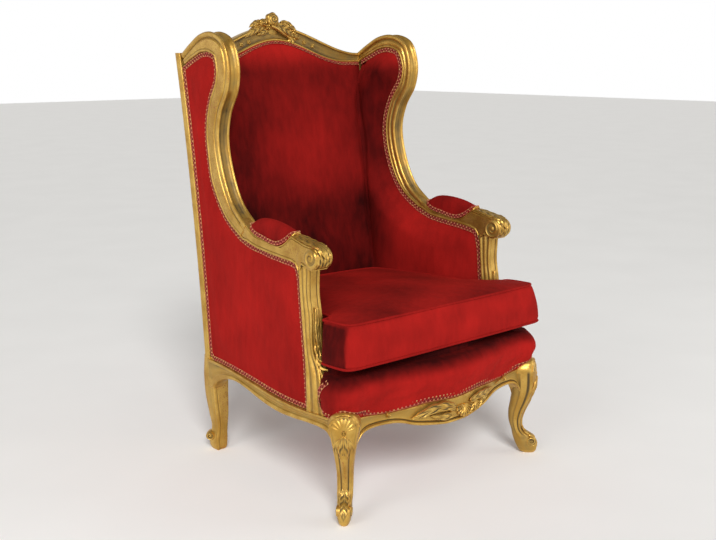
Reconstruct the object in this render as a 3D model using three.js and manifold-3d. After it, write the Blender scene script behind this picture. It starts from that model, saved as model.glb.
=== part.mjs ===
// Wing armchair in the Louis XV manner: carved gilded frame, velvet upholstery, loose seat cushion.
// Millimetres, +Z up, the chair faces -Y. Left is the sitter's left, at +X.
// The origin is on the floor, in the middle of the chair.
import * as THREE from 'three';
import { mergeVertices } from 'three/addons/utils/BufferGeometryUtils.js';
import Module from 'manifold-3d';

const wasm = await Module();
wasm.setup();

// ---- driving dimensions -------------------------------------------------------------------

const GAP = 0.3;                 // clearance between pieces that touch
const WOOD = 36;                 // thickness of the posts, arms and wing frames
const BRAID_WIDTH = 14;
const BRAID_THICK = 3.5;

const SEAT_RAIL_TOP = 244;       // top of the seat rails at the front
const RAIL_TOP_REAR = 257;       // top of the side rails at the rear legs
const FRONT_LEG = { x: 317, y: -310 };
const BACK_LEG = { x: 282, y: 255 };
const POST_TOP = 1041;
const POST_DEPTH = 38;
const POST_SHOWING = 25;         // wood of the back post that shows beside the braid

const PLATFORM_TOP = 352;
const CUSHION_THICK = 92;
const CUSHION_FRONT_TOP = 459;
const CUSHION_REAR_TOP = 441;

const GILT = { color: 0xb08a35, roughness: 0.42, metalness: 0.6 };
const VELVET = { color: 0x8e1418, roughness: 0.85, metalness: 0 };
const BRAID = { color: 0xb5594a, roughness: 0.8, metalness: 0 };

// ---- small helpers ------------------------------------------------------------------------

const point = (x, y, z) => new THREE.Vector3(x, y, z);
const { clamp, lerp, smoothstep } = THREE.MathUtils;

// Smooth curve through [a, b] pairs, as count + 1 evenly spaced pairs.
function smooth(pairs, count) {
  const knots = pairs.map(([a, b]) => point(0, a, b));
  const curve = new THREE.CatmullRomCurve3(knots, false, 'centripetal');
  return curve.getSpacedPoints(count).map((p) => [p.y, p.z]);
}

// Second value of a list of rows at a key in their first value, with straight steps between rows.
function table(rows, key) {
  const last = rows.length - 1;
  const next = rows.findIndex(([at]) => key <= at);
  if (next <= 0) {
    return rows[next === 0 ? 0 : last][1];
  }
  const [from, to] = [rows[next - 1], rows[next]];
  return lerp(from[1], to[1], (key - from[0]) / (to[0] - from[0]));
}

function range(count) {
  return Array.from({ length: count }, (_, i) => i);
}

// Triangles of a flat cap over one ring.
function capTriangles(ring) {
  const normal = point(0, 0, 0);
  ring.forEach((a, i) => {
    const b = ring[(i + 1) % ring.length];
    normal.x += (a.y - b.y) * (a.z + b.z);
    normal.y += (a.z - b.z) * (a.x + b.x);
    normal.z += (a.x - b.x) * (a.y + b.y);
  });
  normal.normalize();
  const side = Math.abs(normal.z) < 0.9 ? point(0, 0, 1) : point(0, 1, 0);
  const u = side.clone().cross(normal).normalize();
  const v = normal.clone().cross(u);
  const flat = ring.map((p) => new THREE.Vector2(p.dot(u), p.dot(v)));
  return THREE.ShapeUtils.triangulateShape(flat, []);
}

// Turns every face of a triangle list round.
function flipFaces(index) {
  for (let i = 0; i < index.length; i += 3) {
    [index[i + 1], index[i + 2]] = [index[i + 2], index[i + 1]];
  }
}

// Volume inside a triangle list, negative when its faces point inwards.
function signedVolume(positions, index) {
  const corner = (i) => point(...positions.slice(3 * index[i], 3 * index[i] + 3));
  let sum = 0;
  for (let i = 0; i < index.length; i += 3) {
    sum += corner(i).dot(corner(i + 1).cross(corner(i + 2)));
  }
  return sum / 6;
}

// Closed body through rings of equal size. closed joins the last ring to the first, without caps.
function loft(rings, closed = false) {
  const size = rings[0].length;
  const positions = rings.flat().flatMap((p) => [p.x, p.y, p.z]);
  const index = [];
  const last = closed ? rings.length : rings.length - 1;
  for (let r = 0; r < last; r += 1) {
    const a = r * size;
    const b = ((r + 1) % rings.length) * size;
    for (let i = 0; i < size; i += 1) {
      const j = (i + 1) % size;
      index.push(a + i, a + j, b + j, a + i, b + j, b + i);
    }
  }
  if (!closed) {
    const end = (rings.length - 1) * size;
    capTriangles(rings[0]).forEach(([i, j, k]) => index.push(i, k, j));
    capTriangles(rings[rings.length - 1]).forEach(([i, j, k]) => index.push(end + i, end + j, end + k));
  }
  if (signedVolume(positions, index) < 0) {
    flipFaces(index);
  }
  const geometry = new THREE.BufferGeometry();
  geometry.setAttribute('position', new THREE.Float32BufferAttribute(positions, 3));
  geometry.setIndex(index);
  return geometry;
}

// The same faces with their shared corners joined, and position alone.
function merged(geometry) {
  const bare = geometry.clone();
  bare.deleteAttribute('normal');
  bare.deleteAttribute('uv');
  return mergeVertices(bare, 1e-3);
}

function toSolid(geometry) {
  const bare = merged(geometry);
  return new wasm.Manifold(new wasm.Mesh({
    numProp: 3,
    vertProperties: new Float32Array(bare.attributes.position.array),
    triVerts: new Uint32Array(bare.index.array),
  }));
}

function toGeometry(solid) {
  const mesh = solid.getMesh();
  const geometry = new THREE.BufferGeometry();
  geometry.setAttribute('position', new THREE.Float32BufferAttribute(mesh.vertProperties, 3));
  geometry.setIndex(new THREE.Uint32BufferAttribute(mesh.triVerts, 1));
  return geometry;
}

function join(...geometries) {
  return toGeometry(geometries.map(toSolid).reduce((a, b) => a.add(b)));
}

// The same body with every face moved out by the given distance.
function grown(geometry, distance) {
  const bare = merged(geometry);
  const place = bare.attributes.position;
  const faces = range(place.count).map(() => []);
  const corners = [point(0, 0, 0), point(0, 0, 0), point(0, 0, 0)];
  for (let i = 0; i < bare.index.count; i += 3) {
    const ids = [0, 1, 2].map((k) => bare.index.getX(i + k));
    ids.forEach((id, k) => corners[k].fromBufferAttribute(place, id));
    const normal = corners[1].clone().sub(corners[0]).cross(corners[2].clone().sub(corners[0]));
    if (normal.length() > 1e-6) {
      normal.normalize();
      ids.forEach((id) => faces[id].push(normal));
    }
  }
  faces.forEach((normals, id) => {
    const out = normals.reduce((sum, n) => sum.add(n), point(0, 0, 0)).normalize();
    const least = Math.min(...normals.map((n) => n.dot(out)));
    const moved = point(0, 0, 0).fromBufferAttribute(place, id);
    moved.addScaledVector(out, distance / Math.max(least, 0.35));
    place.setXYZ(id, moved.x, moved.y, moved.z);
  });
  return bare;
}

// A body less its neighbours with their clearance, keeping its largest piece.
function fitTo(geometry, ...neighbours) {
  const cut = neighbours.reduce((left, n) => left.subtract(toSolid(grown(n, GAP))), toSolid(geometry));
  const pieces = cut.decompose().sort((a, b) => b.volume() - a.volume());
  return toGeometry(pieces[0]);
}

// The same body with its faces turned round.
function turned(geometry) {
  const copy = geometry.clone();
  const index = Array.from(copy.index.array);
  flipFaces(index);
  copy.setIndex(index);
  return copy;
}

function mirrored(geometry) {
  const copy = geometry.clone();
  copy.scale(-1, 1, 1);
  return turned(copy);
}

// ---- where the sides of the chair run -----------------------------------------------------

// Rear face of the back posts: a gentle backward curve.
function postRear(z) {
  const up = (z - 250) / 1000;
  return 269 + 60 * up + 61.7 * up * up;
}

// Middle of the wood of a side (arm, wing, posts): the sides draw together towards the rear.
function sideX(y, z) {
  const rear = 283 + 10 * (z - 260) / 780;
  const back = clamp((y + 210) / 545, 0, 1);
  return 305 + (rear - 305) * back ** 1.6;
}

// Outer edge of the wing frame, from the back post round the wing and down to the arm.
const WING_OUTER = [
  [321, 1040], [278, 1065], [232, 1086], [180, 1091], [130, 1070], [106, 1010], [114, 952],
  [148, 895], [162, 838], [147, 760], [107, 683], [50, 636],
];
const WING_STEPS = 14;

// Depth of the wing frame at a step from 0, at the back post, to 1, at the arm.
function wingDepth(t) {
  return table([[0, 26], [0.1, 33], [0.3, 35], [0.4, 30], [0.55, 33], [0.85, 32], [1, 21]], t);
}

// Outer and inner edges of the wing frame as matching lists of [y, z].
function wingEdges() {
  const outer = smooth(WING_OUTER, WING_STEPS);
  const inner = outer.map(([y, z], i) => {
    const [y0, z0] = outer[Math.max(i - 1, 0)];
    const [y1, z1] = outer[Math.min(i + 1, WING_STEPS)];
    const length = Math.hypot(y1 - y0, z1 - z0);
    const depth = wingDepth(i / WING_STEPS);
    return [y - depth * (z1 - z0) / length, z + depth * (y1 - y0) / length];
  });
  return { outer, inner };
}

// Arm rail from the wing to the scroll: rows of y, top, underside and half width.
const ARM = [
  [-205, 620, 566, 22], [-178, 623, 571, 20], [-150, 629, 581, 18], [-130, 632, 585, 18],
  [-112, 619, 588, 18], [-90, 607, 591, 18], [-20, 611, 598, 18],
  [20, 620, 604, 18], [48, 636, 616, 18],
];
const SCROLL = { y: -208, z: 593, radius: 27, half: 23 };

// Front and rear edges of the arm support: rows of z and y.
const ARM_POST_FRONT = [
  [246, -232], [276, -232], [308, -244], [330, -266], [345, -262], [354, -236], [364, -209],
  [400, -204], [450, -203], [505, -194], [564, -196],
];
const ARM_POST_REAR = [[246, -190], [364, -179], [460, -168], [564, -158.7]];

// Outline of the opening in a side that the upholstery fills, as a closed list of [y, z].
function sideOpening() {
  const { inner } = wingEdges();
  const arm = [[20, 603.5], [-20, 597.5], [-90, 590.5], [-130, 584.5], [-151, 575]];
  const support = [545, 460, 364, 270].map((z) => [table(ARM_POST_REAR, z), z]);
  const rail = [-185, -138, -61, 16, 93, 169, 225].map((y) => [y, sideRailTop(y)]);
  const post = range(5).map((i) => {
    const z = lerp(275, 1006, i / 4);
    return [postRear(z) - POST_SHOWING, z];
  });
  return [...inner, ...arm, ...support, ...rail, ...post];
}

// A closed outline moved inwards by a distance.
function inset(outline, distance) {
  let area = 0;
  outline.forEach(([a, b], i) => {
    const [c, d] = outline[(i + 1) % outline.length];
    area += a * d - c * b;
  });
  const turn = Math.sign(area);
  return outline.map(([a, b], i) => {
    const [a0, b0] = outline[(i + outline.length - 1) % outline.length];
    const [a1, b1] = outline[(i + 1) % outline.length];
    const before = new THREE.Vector2(a - a0, b - b0).normalize();
    const after = new THREE.Vector2(a1 - a, b1 - b).normalize();
    const across = new THREE.Vector2(-before.y - after.y, before.x + after.x);
    const normal = across.multiplyScalar(turn).normalize();
    const straight = Math.max(0.5, Math.sqrt((1 + before.dot(after)) / 2));
    return [a + normal.x * distance / straight, b + normal.y * distance / straight];
  });
}

// Lowest and highest y of a closed outline at a height.
function spanAt(outline, z) {
  const hits = [];
  outline.forEach(([a, b], i) => {
    const [c, d] = outline[(i + 1) % outline.length];
    if ((b - z) * (d - z) <= 0 && b !== d) {
      hits.push(a + (c - a) * (z - b) / (d - b));
    }
  });
  return [Math.min(...hits), Math.max(...hits)];
}

// Distance from a place in a side to a list of points along an edge.
function distanceTo(edge, y, z) {
  let least = Infinity;
  for (let i = 1; i < edge.length; i += 1) {
    const a = new THREE.Vector2(...edge[i - 1]);
    const ab = new THREE.Vector2(...edge[i]).sub(a);
    const ap = new THREE.Vector2(y, z).sub(a);
    const t = clamp(ap.dot(ab) / ab.lengthSq(), 0, 1);
    least = Math.min(least, ap.sub(ab.multiplyScalar(t)).length());
  }
  return least;
}

// ---- seat rails ---------------------------------------------------------------------------

// Top of a side rail as [y, z], where its sections stand.
const SIDE_RAIL_TOP = [
  [-292, 241], [-215, 235], [-138, 232], [-61, 235], [16, 243], [93, 250.5], [169, 255.5],
  [246, RAIL_TOP_REAR],
];

function sideRailTop(y) {
  return table(SIDE_RAIL_TOP, y);
}

function sideRailBottom(y) {
  const rows = [[-292, 198], [-240, 206], [-190, 205], [-75, 200], [-7, 208], [62, 222], [110, 228]];
  return table([...rows, [246, 222]], y);
}

function sideRailX(y) {
  return sideX(y, 260) + lerp(23, 18, clamp((y + 280) / 500, 0, 1));
}

// Bow of the front rail and the height of its lower edge.
function frontRailY(x) {
  return -(315 + 40 * Math.cos(Math.PI * clamp(x / 540, -0.5, 0.5)) ** 2);
}

function frontRailTop(x) {
  const rows = [[0, 233], [95, 233.5], [190, 234.5], [237, 238.5], [285, 244], [330, 244]];
  return table(rows, Math.abs(x));
}

function frontRailBottom(x) {
  const rows = [[0, 176], [60, 179], [110, 187], [150, 199], [190, 206], [250, 204], [285, 196]];
  return table(rows, Math.abs(x));
}

// Section of a seat rail: [out from the face, share of the height], bead below, hollow, flat above.
const RAIL_SECTION = [
  [-34, 0], [-6, 0], [3, 0.08], [2.5, 0.2], [-2.5, 0.33], [1, 0.75], [0, 0.95], [-3, 1], [-34, 1],
];

function frontRail() {
  const rings = range(13).map((i) => {
    const x = lerp(-285, 285, i / 12);
    const low = frontRailBottom(x);
    const high = frontRailTop(x);
    return RAIL_SECTION.map(([out, share]) => point(x, frontRailY(x) - out, lerp(low, high, share)));
  });
  return loft(rings);
}

function sideRail() {
  const rings = SIDE_RAIL_TOP.map(([y]) => {
    const low = sideRailBottom(y);
    const high = sideRailTop(y);
    return RAIL_SECTION.map(([out, share]) => point(sideRailX(y) + out, y, lerp(low, high, share)));
  });
  return loft(rings);
}

function backRail() {
  const rings = range(5).map((i) => {
    const x = lerp(-262, 262, i / 4);
    const low = 214 - 10 * Math.cos(Math.PI * x / 524);
    const section = [[236, low], [262, low], [266, low + 4], [264, RAIL_TOP_REAR], [236, RAIL_TOP_REAR]];
    return section.map(([y, z]) => point(x, y, z));
  });
  return loft(rings);
}

// ---- carving ------------------------------------------------------------------------------

// A ribbed leaf lying along +X from the origin, with its back at z = 0, arched by bend.
function leaf(length, width, thick, bend = 0) {
  const steps = 3;
  const rings = range(steps + 1).map((i) => {
    const u = i / steps;
    const half = 0.5 * width * (0.16 + 0.84 * Math.sin(Math.PI * u ** 0.8) ** 0.8);
    const rise = thick * (0.35 + 0.65 * Math.sin(Math.PI * u));
    const lift = bend * Math.sin(Math.PI * u);
    return [[-1, 0.25], [-0.5, 0.95], [0, 0.6], [0.5, 0.95], [1, 0.25], [0, -0.5]]
      .map(([v, h]) => point(u * length, v * half, lift + h * rise));
  });
  return loft(rings);
}

// A rose seen from above: a ruffled bowl of petals round a bud.
function rose(radius, height) {
  const steps = 8;
  const tiers = [[0.7, 0], [1, 0.5], [0.4, 1]];
  const rings = tiers.map(([r, h], k) => range(steps).map((i) => {
    const angle = 2 * Math.PI * i / steps;
    const ruffle = 1 + 0.12 * Math.cos(4 * angle + k);
    return point(radius * r * ruffle * Math.cos(angle), radius * r * ruffle * Math.sin(angle), height * h);
  }));
  return loft(rings);
}

// A fan shell standing on its point: flutes spread over the given angle, +Z is its front.
function shell(radius, spread, thick) {
  const flutes = 5;
  const steps = 2 * flutes;
  const tiers = [[0.12, 0.4], [0.6, 1], [1, 0.5]];
  const rings = range(steps + 1).map((i) => {
    const angle = Math.PI / 2 + spread * (i / steps - 0.5);
    const crest = i % 2 === 1 ? 1 : 0.72;
    const front = tiers.map(([r, h]) => {
      const reach = radius * r * (i % 2 === 1 ? 1 : 0.94);
      return point(reach * Math.cos(angle), reach * Math.sin(angle), thick * h * crest);
    });
    const back = point(0.5 * radius * Math.cos(angle), 0.5 * radius * Math.sin(angle), -thick);
    return [...front, back];
  });
  return loft(rings);
}

// Puts a carving with its x and z axes along the given directions.
function placed(geometry, origin, along, front) {
  const z = front.clone().normalize();
  const x = along.clone().addScaledVector(z, -along.dot(z)).normalize();
  const y = z.clone().cross(x);
  const copy = geometry.clone();
  copy.applyMatrix4(new THREE.Matrix4().makeBasis(x, y, z).setPosition(origin));
  return copy;
}

// ---- legs and posts -----------------------------------------------------------------------

// Cabriole leg: rows of z, inner and outer reach along the diagonal, and width across it.
const CABRIOLE = [
  [0, -19, 16, 30], [14, -25, 22, 36], [32, -29, 25, 36], [46, -32, 16, 33], [60, -36, -6, 30],
  [86, -43, -11, 31], [114, -45, -3, 34], [142, -41, 11, 40], [170, -36, 22, 52], [200, -38, 27, 72],
  [242, -46, 24, 84],
];

// A rounded square ring across a diagonal leg at one of its rows.
function diagonalRing(centre, [z, inner, outer, width]) {
  const count = 10;
  const middle = (inner + outer) / 2;
  const deep = (outer - inner) / 2;
  return range(count).map((i) => {
    const angle = 2 * Math.PI * i / count;
    const c = Math.cos(angle);
    const s = Math.sin(angle);
    const along = middle + deep * Math.sign(c) * Math.abs(c) ** 0.75;
    const across = width / 2 * Math.sign(s) * Math.abs(s) ** 0.75;
    return point(centre.x + (along + across) * Math.SQRT1_2, centre.y + (across - along) * Math.SQRT1_2, z);
  });
}

function frontLeg() {
  const rings = CABRIOLE.map((row) => diagonalRing(FRONT_LEG, row));
  const outward = point(Math.SQRT1_2, -Math.SQRT1_2, 0);
  const knee = point(FRONT_LEG.x, FRONT_LEG.y, 206).addScaledVector(outward, 22);
  const sideways = point(Math.SQRT1_2, Math.SQRT1_2, 0);
  const fan = placed(shell(46, 2.1, 8), knee, sideways, outward.clone().setZ(0.12));
  const husk = placed(
    leaf(74, 30, 7, 3),
    point(FRONT_LEG.x, FRONT_LEG.y, 208).addScaledVector(outward, 23),
    point(-0.25, 0.25, -1),
    outward.clone().setZ(-0.35),
  );
  const toe = placed(
    leaf(38, 26, 6, 5),
    point(FRONT_LEG.x, FRONT_LEG.y, 62).addScaledVector(outward, -10),
    point(0.62, -0.62, -0.75),
    point(0.6, -0.6, 0.7),
  );
  return join(loft(rings), fan, husk, toe);
}

// Rear leg: rows of z, inner and outer corner along the diagonal.
const REAR_LEG = [
  [0, -26, 19], [14, -28, 24], [32, -29, 32], [46, -29, 27], [60, -30, 14], [100, -33, 20],
  [150, -34, 28], [200, -35, 31], [250, -36, 28],
];

function squareRing(x0, x1, y0, y1, z) {
  const cut = 5;
  return [
    [x0 + cut, y0], [x1 - cut, y0], [x1, y0 + cut], [x1, y1 - cut],
    [x1 - cut, y1], [x0 + cut, y1], [x0, y1 - cut], [x0, y0 + cut],
  ].map(([x, y]) => point(x, y, z));
}

function backLeg() {
  const leg = REAR_LEG.map(([z, inner, outer]) => {
    const low = inner * Math.SQRT1_2;
    const high = outer * Math.SQRT1_2;
    return squareRing(BACK_LEG.x + low, BACK_LEG.x + high, BACK_LEG.y + low - 2, BACK_LEG.y + high, z);
  });
  const post = range(6).map((i) => {
    const z = lerp(236, POST_TOP, i / 5);
    const rear = postRear(z);
    const middle = sideX(rear, z);
    const [inner, outer, front] = [middle - WOOD / 2, middle + WOOD / 2, rear - POST_DEPTH];
    return [
      [inner, front], [middle + 1, front], [middle + 1, rear - POST_SHOWING], [outer, rear - POST_SHOWING],
      [outer, rear - 4], [outer - 4, rear], [inner + 4, rear], [inner, rear - 4],
    ].map(([x, y]) => point(x, y, z));
  });
  return join(loft(leg), loft(post));
}

// ---- wing, arm and arm support ------------------------------------------------------------

// Moulded section across a frame member: [across, depth from the front], beads at both corners.
const MOULDING = [
  [-18, 1], [-18, 0.4], [-15, 0.32], [-18, 0.15], [-11, 0.01], [-8, 0.12],
  [8, 0.12], [11, 0.01], [18, 0.15], [15, 0.32], [18, 0.4], [18, 1],
];

function wingFrame() {
  const { outer, inner } = wingEdges();
  const rings = outer.map(([y0, z0], i) => MOULDING.map(([across, depth]) => {
    const y = lerp(y0, inner[i][0], depth);
    const z = lerp(z0, inner[i][1], depth);
    return point(sideX(y, z) + across, y, z);
  }));
  return loft(rings);
}

// Scroll at the front of an arm: a drum with a sunk ring and a boss on each cheek.
function armScroll() {
  const { radius, half } = SCROLL;
  const cheek = [[0, half + 2], [12, half - 3], [19, half + 0.5], [radius, half - 1]];
  const profile = [...cheek, ...cheek.map(([r, a]) => [r, -a]).reverse()];
  const drum = new THREE.LatheGeometry(profile.map(([r, a]) => new THREE.Vector2(r, a)), 10);
  drum.rotateZ(Math.PI / 2);
  drum.translate(sideX(SCROLL.y, SCROLL.z), SCROLL.y, SCROLL.z);
  const volume = signedVolume(Array.from(drum.attributes.position.array), Array.from(drum.index.array));
  return volume < 0 ? turned(drum) : drum;
}

function armRail() {
  const rings = ARM.map(([y, top, bottom, half]) => {
    const middle = sideX(y, top);
    const tall = top - bottom;
    return [
      [-half, 0], [-half, 0.6], [-half + 2.5, 0.72], [-half + 1, 0.95], [-half + 5, 1],
      [half - 5, 1], [half - 1, 0.95], [half - 2.5, 0.72], [half, 0.6], [half, 0],
    ].map(([across, up]) => point(middle + across, y, bottom + up * tall));
  });
  const middle = sideX(-160, 625);
  const acanthus = placed(
    leaf(92, 34, 7, 4),
    point(middle, -136, 628),
    point(0, -1, -0.12),
    point(0, -0.1, 1),
  );
  return join(loft(rings), armScroll(), acanthus);
}

function armPost() {
  const rings = ARM_POST_FRONT.map(([z, front]) => {
    const rear = table(ARM_POST_REAR, z);
    const middle = sideX(-190, z) + lerp(3, 0, clamp((z - 246) / 100, 0, 1));
    const tip = clamp(1 - Math.abs(z - 338) / 22, 0, 1);
    const narrow = lerp(WOOD / 2, 11, tip);
    return [
      [-18, 0], [-18, 0.5], [-15.5, 0.63], [-narrow, 0.78], [-narrow + 2, 0.97], [-5, 0.92],
      [5, 0.92], [narrow - 2, 0.97], [narrow, 0.78], [15.5, 0.63], [18, 0.5], [18, 0],
    ].map(([across, forward]) => point(middle + across, lerp(rear, front, forward), z));
  });
  return loft(rings);
}

// ---- crest rail ---------------------------------------------------------------------------

const CREST_END = 274.5;

function crestFront(x) {
  return 335 - 30 * (x / 270) ** 2;
}

function crestRear(x) {
  return 368 - 14 * (x / 270) ** 2;
}

// The top line rises towards the middle and has a low mound under the bouquet.
function crestTop(x) {
  const mound = 20 * Math.exp(-(((x + 8) / 46) ** 2));
  return 1042 + 71 * Math.cos(Math.PI * clamp(x / 530, -0.5, 0.5)) ** 1.7 + mound;
}

function crestBottom(x) {
  return 1015 + 58 * Math.cos(Math.PI * clamp(x / 450, -0.5, 0.5)) ** 2;
}

function crestRail() {
  const section = [[0, 0], [0, 0.3], [0.1, 0.45], [0, 0.65], [0.06, 0.96], [0.25, 1], [1, 1], [1, 0]];
  const rings = range(13).map((i) => {
    const x = lerp(-CREST_END, CREST_END, i / 12);
    return section.map(([back, up]) => point(
      x,
      lerp(crestFront(x), crestRear(x), back),
      lerp(crestBottom(x), crestTop(x), up),
    ));
  });
  return join(loft(rings), ...crestBouquet());
}

// The carved bouquet: a rose on top, buds and leaves trailing to both sides over the rail.
function crestBouquet() {
  const front = point(0, -1, 0.2);
  const at = (x, z, out) => point(x, crestFront(x) - out + 4, z);
  const sprig = (x, z, angle, length, width, thick) => placed(
    leaf(length, width, thick, 3),
    at(x, z, 0),
    point(Math.cos(angle), 0, Math.sin(angle)),
    front,
  );
  return [
    placed(rose(19, 18), at(-10, 1130, 0), point(1, 0, 0), front),
    placed(rose(13, 14), at(-48, 1119, 0), point(1, 0, 0), front),
    placed(rose(10, 12), at(40, 1112, 0), point(1, 0, 0), front),
    sprig(-36, 1116, 3.5, 66, 26, 9),
    sprig(-20, 1104, 3.3, 72, 20, 8),
    sprig(22, 1116, -0.42, 74, 24, 9),
    sprig(-14, 1108, -0.35, 70, 22, 10),
  ];
}

// ---- carving on the front rail ------------------------------------------------------------

// The shell in the middle of the front rail with a long leaf to each side.
function railCarving() {
  const front = point(0, -1, 0);
  const at = (x, z) => point(x, frontRailY(x) + 4, z);
  return [
    placed(shell(34, 2.9, 8), at(12, 184), point(1, 0, 0.1), front),
    placed(leaf(120, 34, 9, 2), at(10, 204), point(-1, -0.02, 0.02), front),
    placed(leaf(96, 26, 8, 2), at(44, 204), point(1, 0.12, 0.16), front),
  ];
}

// ---- upholstery of the sides --------------------------------------------------------------

const OUTER_FACE = 13;           // outside panel, out from the middle of the wood
const BORDER = 13;               // inside pad at its border, in from the middle of the wood

// Where the inside of the back and of the sides meet: x and y at a height.
function cornerX(z) {
  return 232 + 13 * (z - 449) / 559;
}

function cornerY(z) {
  return 198 + 92 * Math.max(0, z - 449) / 559;
}

// Front and top edge of a side's upholstery.
function sideBorder() {
  return sideOpening().slice(0, WING_STEPS + 10);
}

// Surface of an inside pad, which deepens from its border to the corner of the back.
function insideX(y, z, border) {
  const forward = clamp((y + 165) / (cornerY(z) + 165), 0, 1);
  const deep = sideX(y, z) - BORDER - cornerX(z);
  const away = smoothstep(distanceTo(border, y, z), 0, 75);
  return sideX(y, z) - BORDER - deep * forward * away - 4 * away * (1 - forward);
}

function insideSidePad() {
  const opening = inset(sideOpening(), 0.6);
  const border = sideBorder();
  const heights = [355, 450, 555, 577, 590, 605, 635, 700, 780, 860, 930, 1000, 1040];
  const rings = heights.map((z) => {
    const [front, most] = spanAt(opening, z);
    const rear = Math.min(most, postRear(z) - POST_DEPTH - 0.6);
    const corner = Math.min(cornerY(z), rear - 0.6);
    const inner = range(5).map((i) => {
      const y = lerp(front, corner, i / 4);
      return point(insideX(y, z, border), y, z);
    });
    const hidden = point(Math.max(cornerX(z) + 0.5, insideX(corner, z, border) + 0.2), rear, z);
    const outer = [1, 0.5, 0].map((t) => {
      const y = lerp(front, rear, t);
      return point(sideX(y, z) - 2.5, y, z);
    });
    return [...inner, hidden, ...outer];
  });
  return loft(rings);
}

// Outside panel: a thin stuffed plate that fills the opening.
function sidePanel() {
  const opening = sideOpening();
  const ring = (distance, out) => inset(opening, distance).map(([y, z]) => point(sideX(y, z) + out, y, z));
  return loft([ring(0.9, 5), ring(0.9, OUTER_FACE), ring(18, OUTER_FACE)]);
}

// ---- braid --------------------------------------------------------------------------------

// Flat braid through a list of { a, b, out }: its two borders and the way it faces.
function braid(stations, closed) {
  const rings = stations.map(({ a, b, out }) => [
    a.clone().addScaledVector(out, GAP),
    a.clone().addScaledVector(out, GAP + BRAID_THICK),
    b.clone().addScaledVector(out, GAP + BRAID_THICK),
    b.clone().addScaledVector(out, GAP),
  ]);
  return loft(rings, closed);
}

function sideBraid() {
  const near = inset(sideOpening(), 1);
  const far = inset(sideOpening(), BRAID_WIDTH + 1);
  const out = point(1, 0, 0);
  return braid(near.map(([y, z], i) => {
    const [y1, z1] = far[i];
    return {
      a: point(sideX(y, z) + OUTER_FACE, y, z),
      b: point(sideX(y1, z1) + OUTER_FACE, y1, z1),
      out,
    };
  }), true);
}

function insideBraid() {
  const border = sideBorder();
  const near = inset(sideOpening(), 1).slice(1, border.length);
  const far = inset(sideOpening(), BRAID_WIDTH + 1).slice(1, border.length);
  return braid(near.map(([y, z], i) => {
    const [y1, z1] = far[i];
    return {
      a: point(insideX(y, z, border) - 3.4, y, z),
      b: point(insideX(y1, z1, border) - 3.4, y1, z1),
      out: point(-1, 0, 0),
    };
  }), false);
}

// ---- upholstery of the back ---------------------------------------------------------------

const BACK_PAD_BOTTOM = 355;
const PAD_CLEARANCE = 1.6;       // below the crest rail, whose facets are shorter than the pad's
const PANEL_CLEARANCE = 4;       // the same for the wider outside panel

// Front of the inside back: reclined, and hollow from side to side.
function backFront(x, z) {
  const middle = 217 + 119 * clamp((z - 447) / 620, 0, 1);
  return middle - 26 * (x / 250) ** 2;
}

// How far the outside back is stuffed out behind the posts.
function backRearBulge(x, z) {
  return 9 * clamp((z - 260) / 780, 0, 1) * (1 - (x / 262) ** 2);
}

function insideBackPad() {
  const rings = range(9).map((i) => {
    const share = lerp(-1, 1, i / 8);
    const at = (z) => share * (cornerX(z) - 0.6);
    const zTop = crestBottom(at(1010)) - PAD_CLEARANCE;
    const front = [BACK_PAD_BOTTOM, 450, 640, 820, 970].map((z) => point(at(z), backFront(at(z), z), z));
    const rimZ = zTop - 14;
    return [
      ...front,
      point(at(rimZ), Math.max(backFront(at(rimZ), rimZ), crestFront(at(rimZ)) + 1), rimZ),
      point(at(zTop), crestFront(at(zTop)) + 5, zTop),
      point(at(zTop), crestFront(at(zTop)) + 14, zTop),
      point(at(760), postRear(760) - 17, 760),
      point(at(BACK_PAD_BOTTOM), postRear(BACK_PAD_BOTTOM) - 16, BACK_PAD_BOTTOM),
    ];
  });
  return loft(rings);
}

function outsideBackPanel() {
  const rings = range(9).map((i) => {
    const share = lerp(-1, 1, i / 8);
    const at = (z) => share * (sideX(postRear(z), z) - WOOD / 2 - 0.6);
    const zTop = crestBottom(at(1010)) - PANEL_CLEARANCE;
    const heights = [263, 500, 800, zTop];
    const rear = heights.map((z) => point(at(z), postRear(z) - 4 + backRearBulge(at(z), z), z));
    const front = heights.map((z) => point(at(z), postRear(z) - 12 + backRearBulge(at(z), z), z)).reverse();
    return [...rear, ...front];
  });
  return loft(rings);
}

// Outline of the outside back, clockwise from the lower right, as [x, z].
function backOutline() {
  const side = (sign) => [300, 540, 780, 980]
    .map((z) => [sign * (sideX(postRear(z), z) - WOOD / 2), z]);
  const top = range(7).map((i) => {
    const x = lerp(262, -262, i / 6);
    return [x, crestBottom(x)];
  });
  const bottom = range(3).map((i) => [lerp(-255, 255, i / 2), 263]);
  return [...side(1), ...top, ...side(-1).reverse(), ...bottom];
}

function outsideBackBraid() {
  const near = inset(backOutline(), 4);
  const far = inset(backOutline(), BRAID_WIDTH + 4);
  const at = ([x, z]) => point(x, postRear(z) - 1 + backRearBulge(x, z), z);
  return braid(near.map((p, i) => ({ a: at(p), b: at(far[i]), out: point(0, 1, 0) })), true);
}

function insideBackBraid() {
  const stations = range(13).map((i) => {
    const x = lerp(-240, 240, i / 12);
    const high = crestBottom(x) - 1;
    const low = high - BRAID_WIDTH;
    return {
      a: point(x, crestFront(x) + 2, high),
      b: point(x, Math.min(backFront(x, low), crestFront(x)) - 2, low),
      out: point(0, -1, 0),
    };
  });
  return braid(stations, false);
}

// ---- seat ---------------------------------------------------------------------------------

const PLATFORM_REAR = [[268, -236], [264, 0], [254, 200]];

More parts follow.
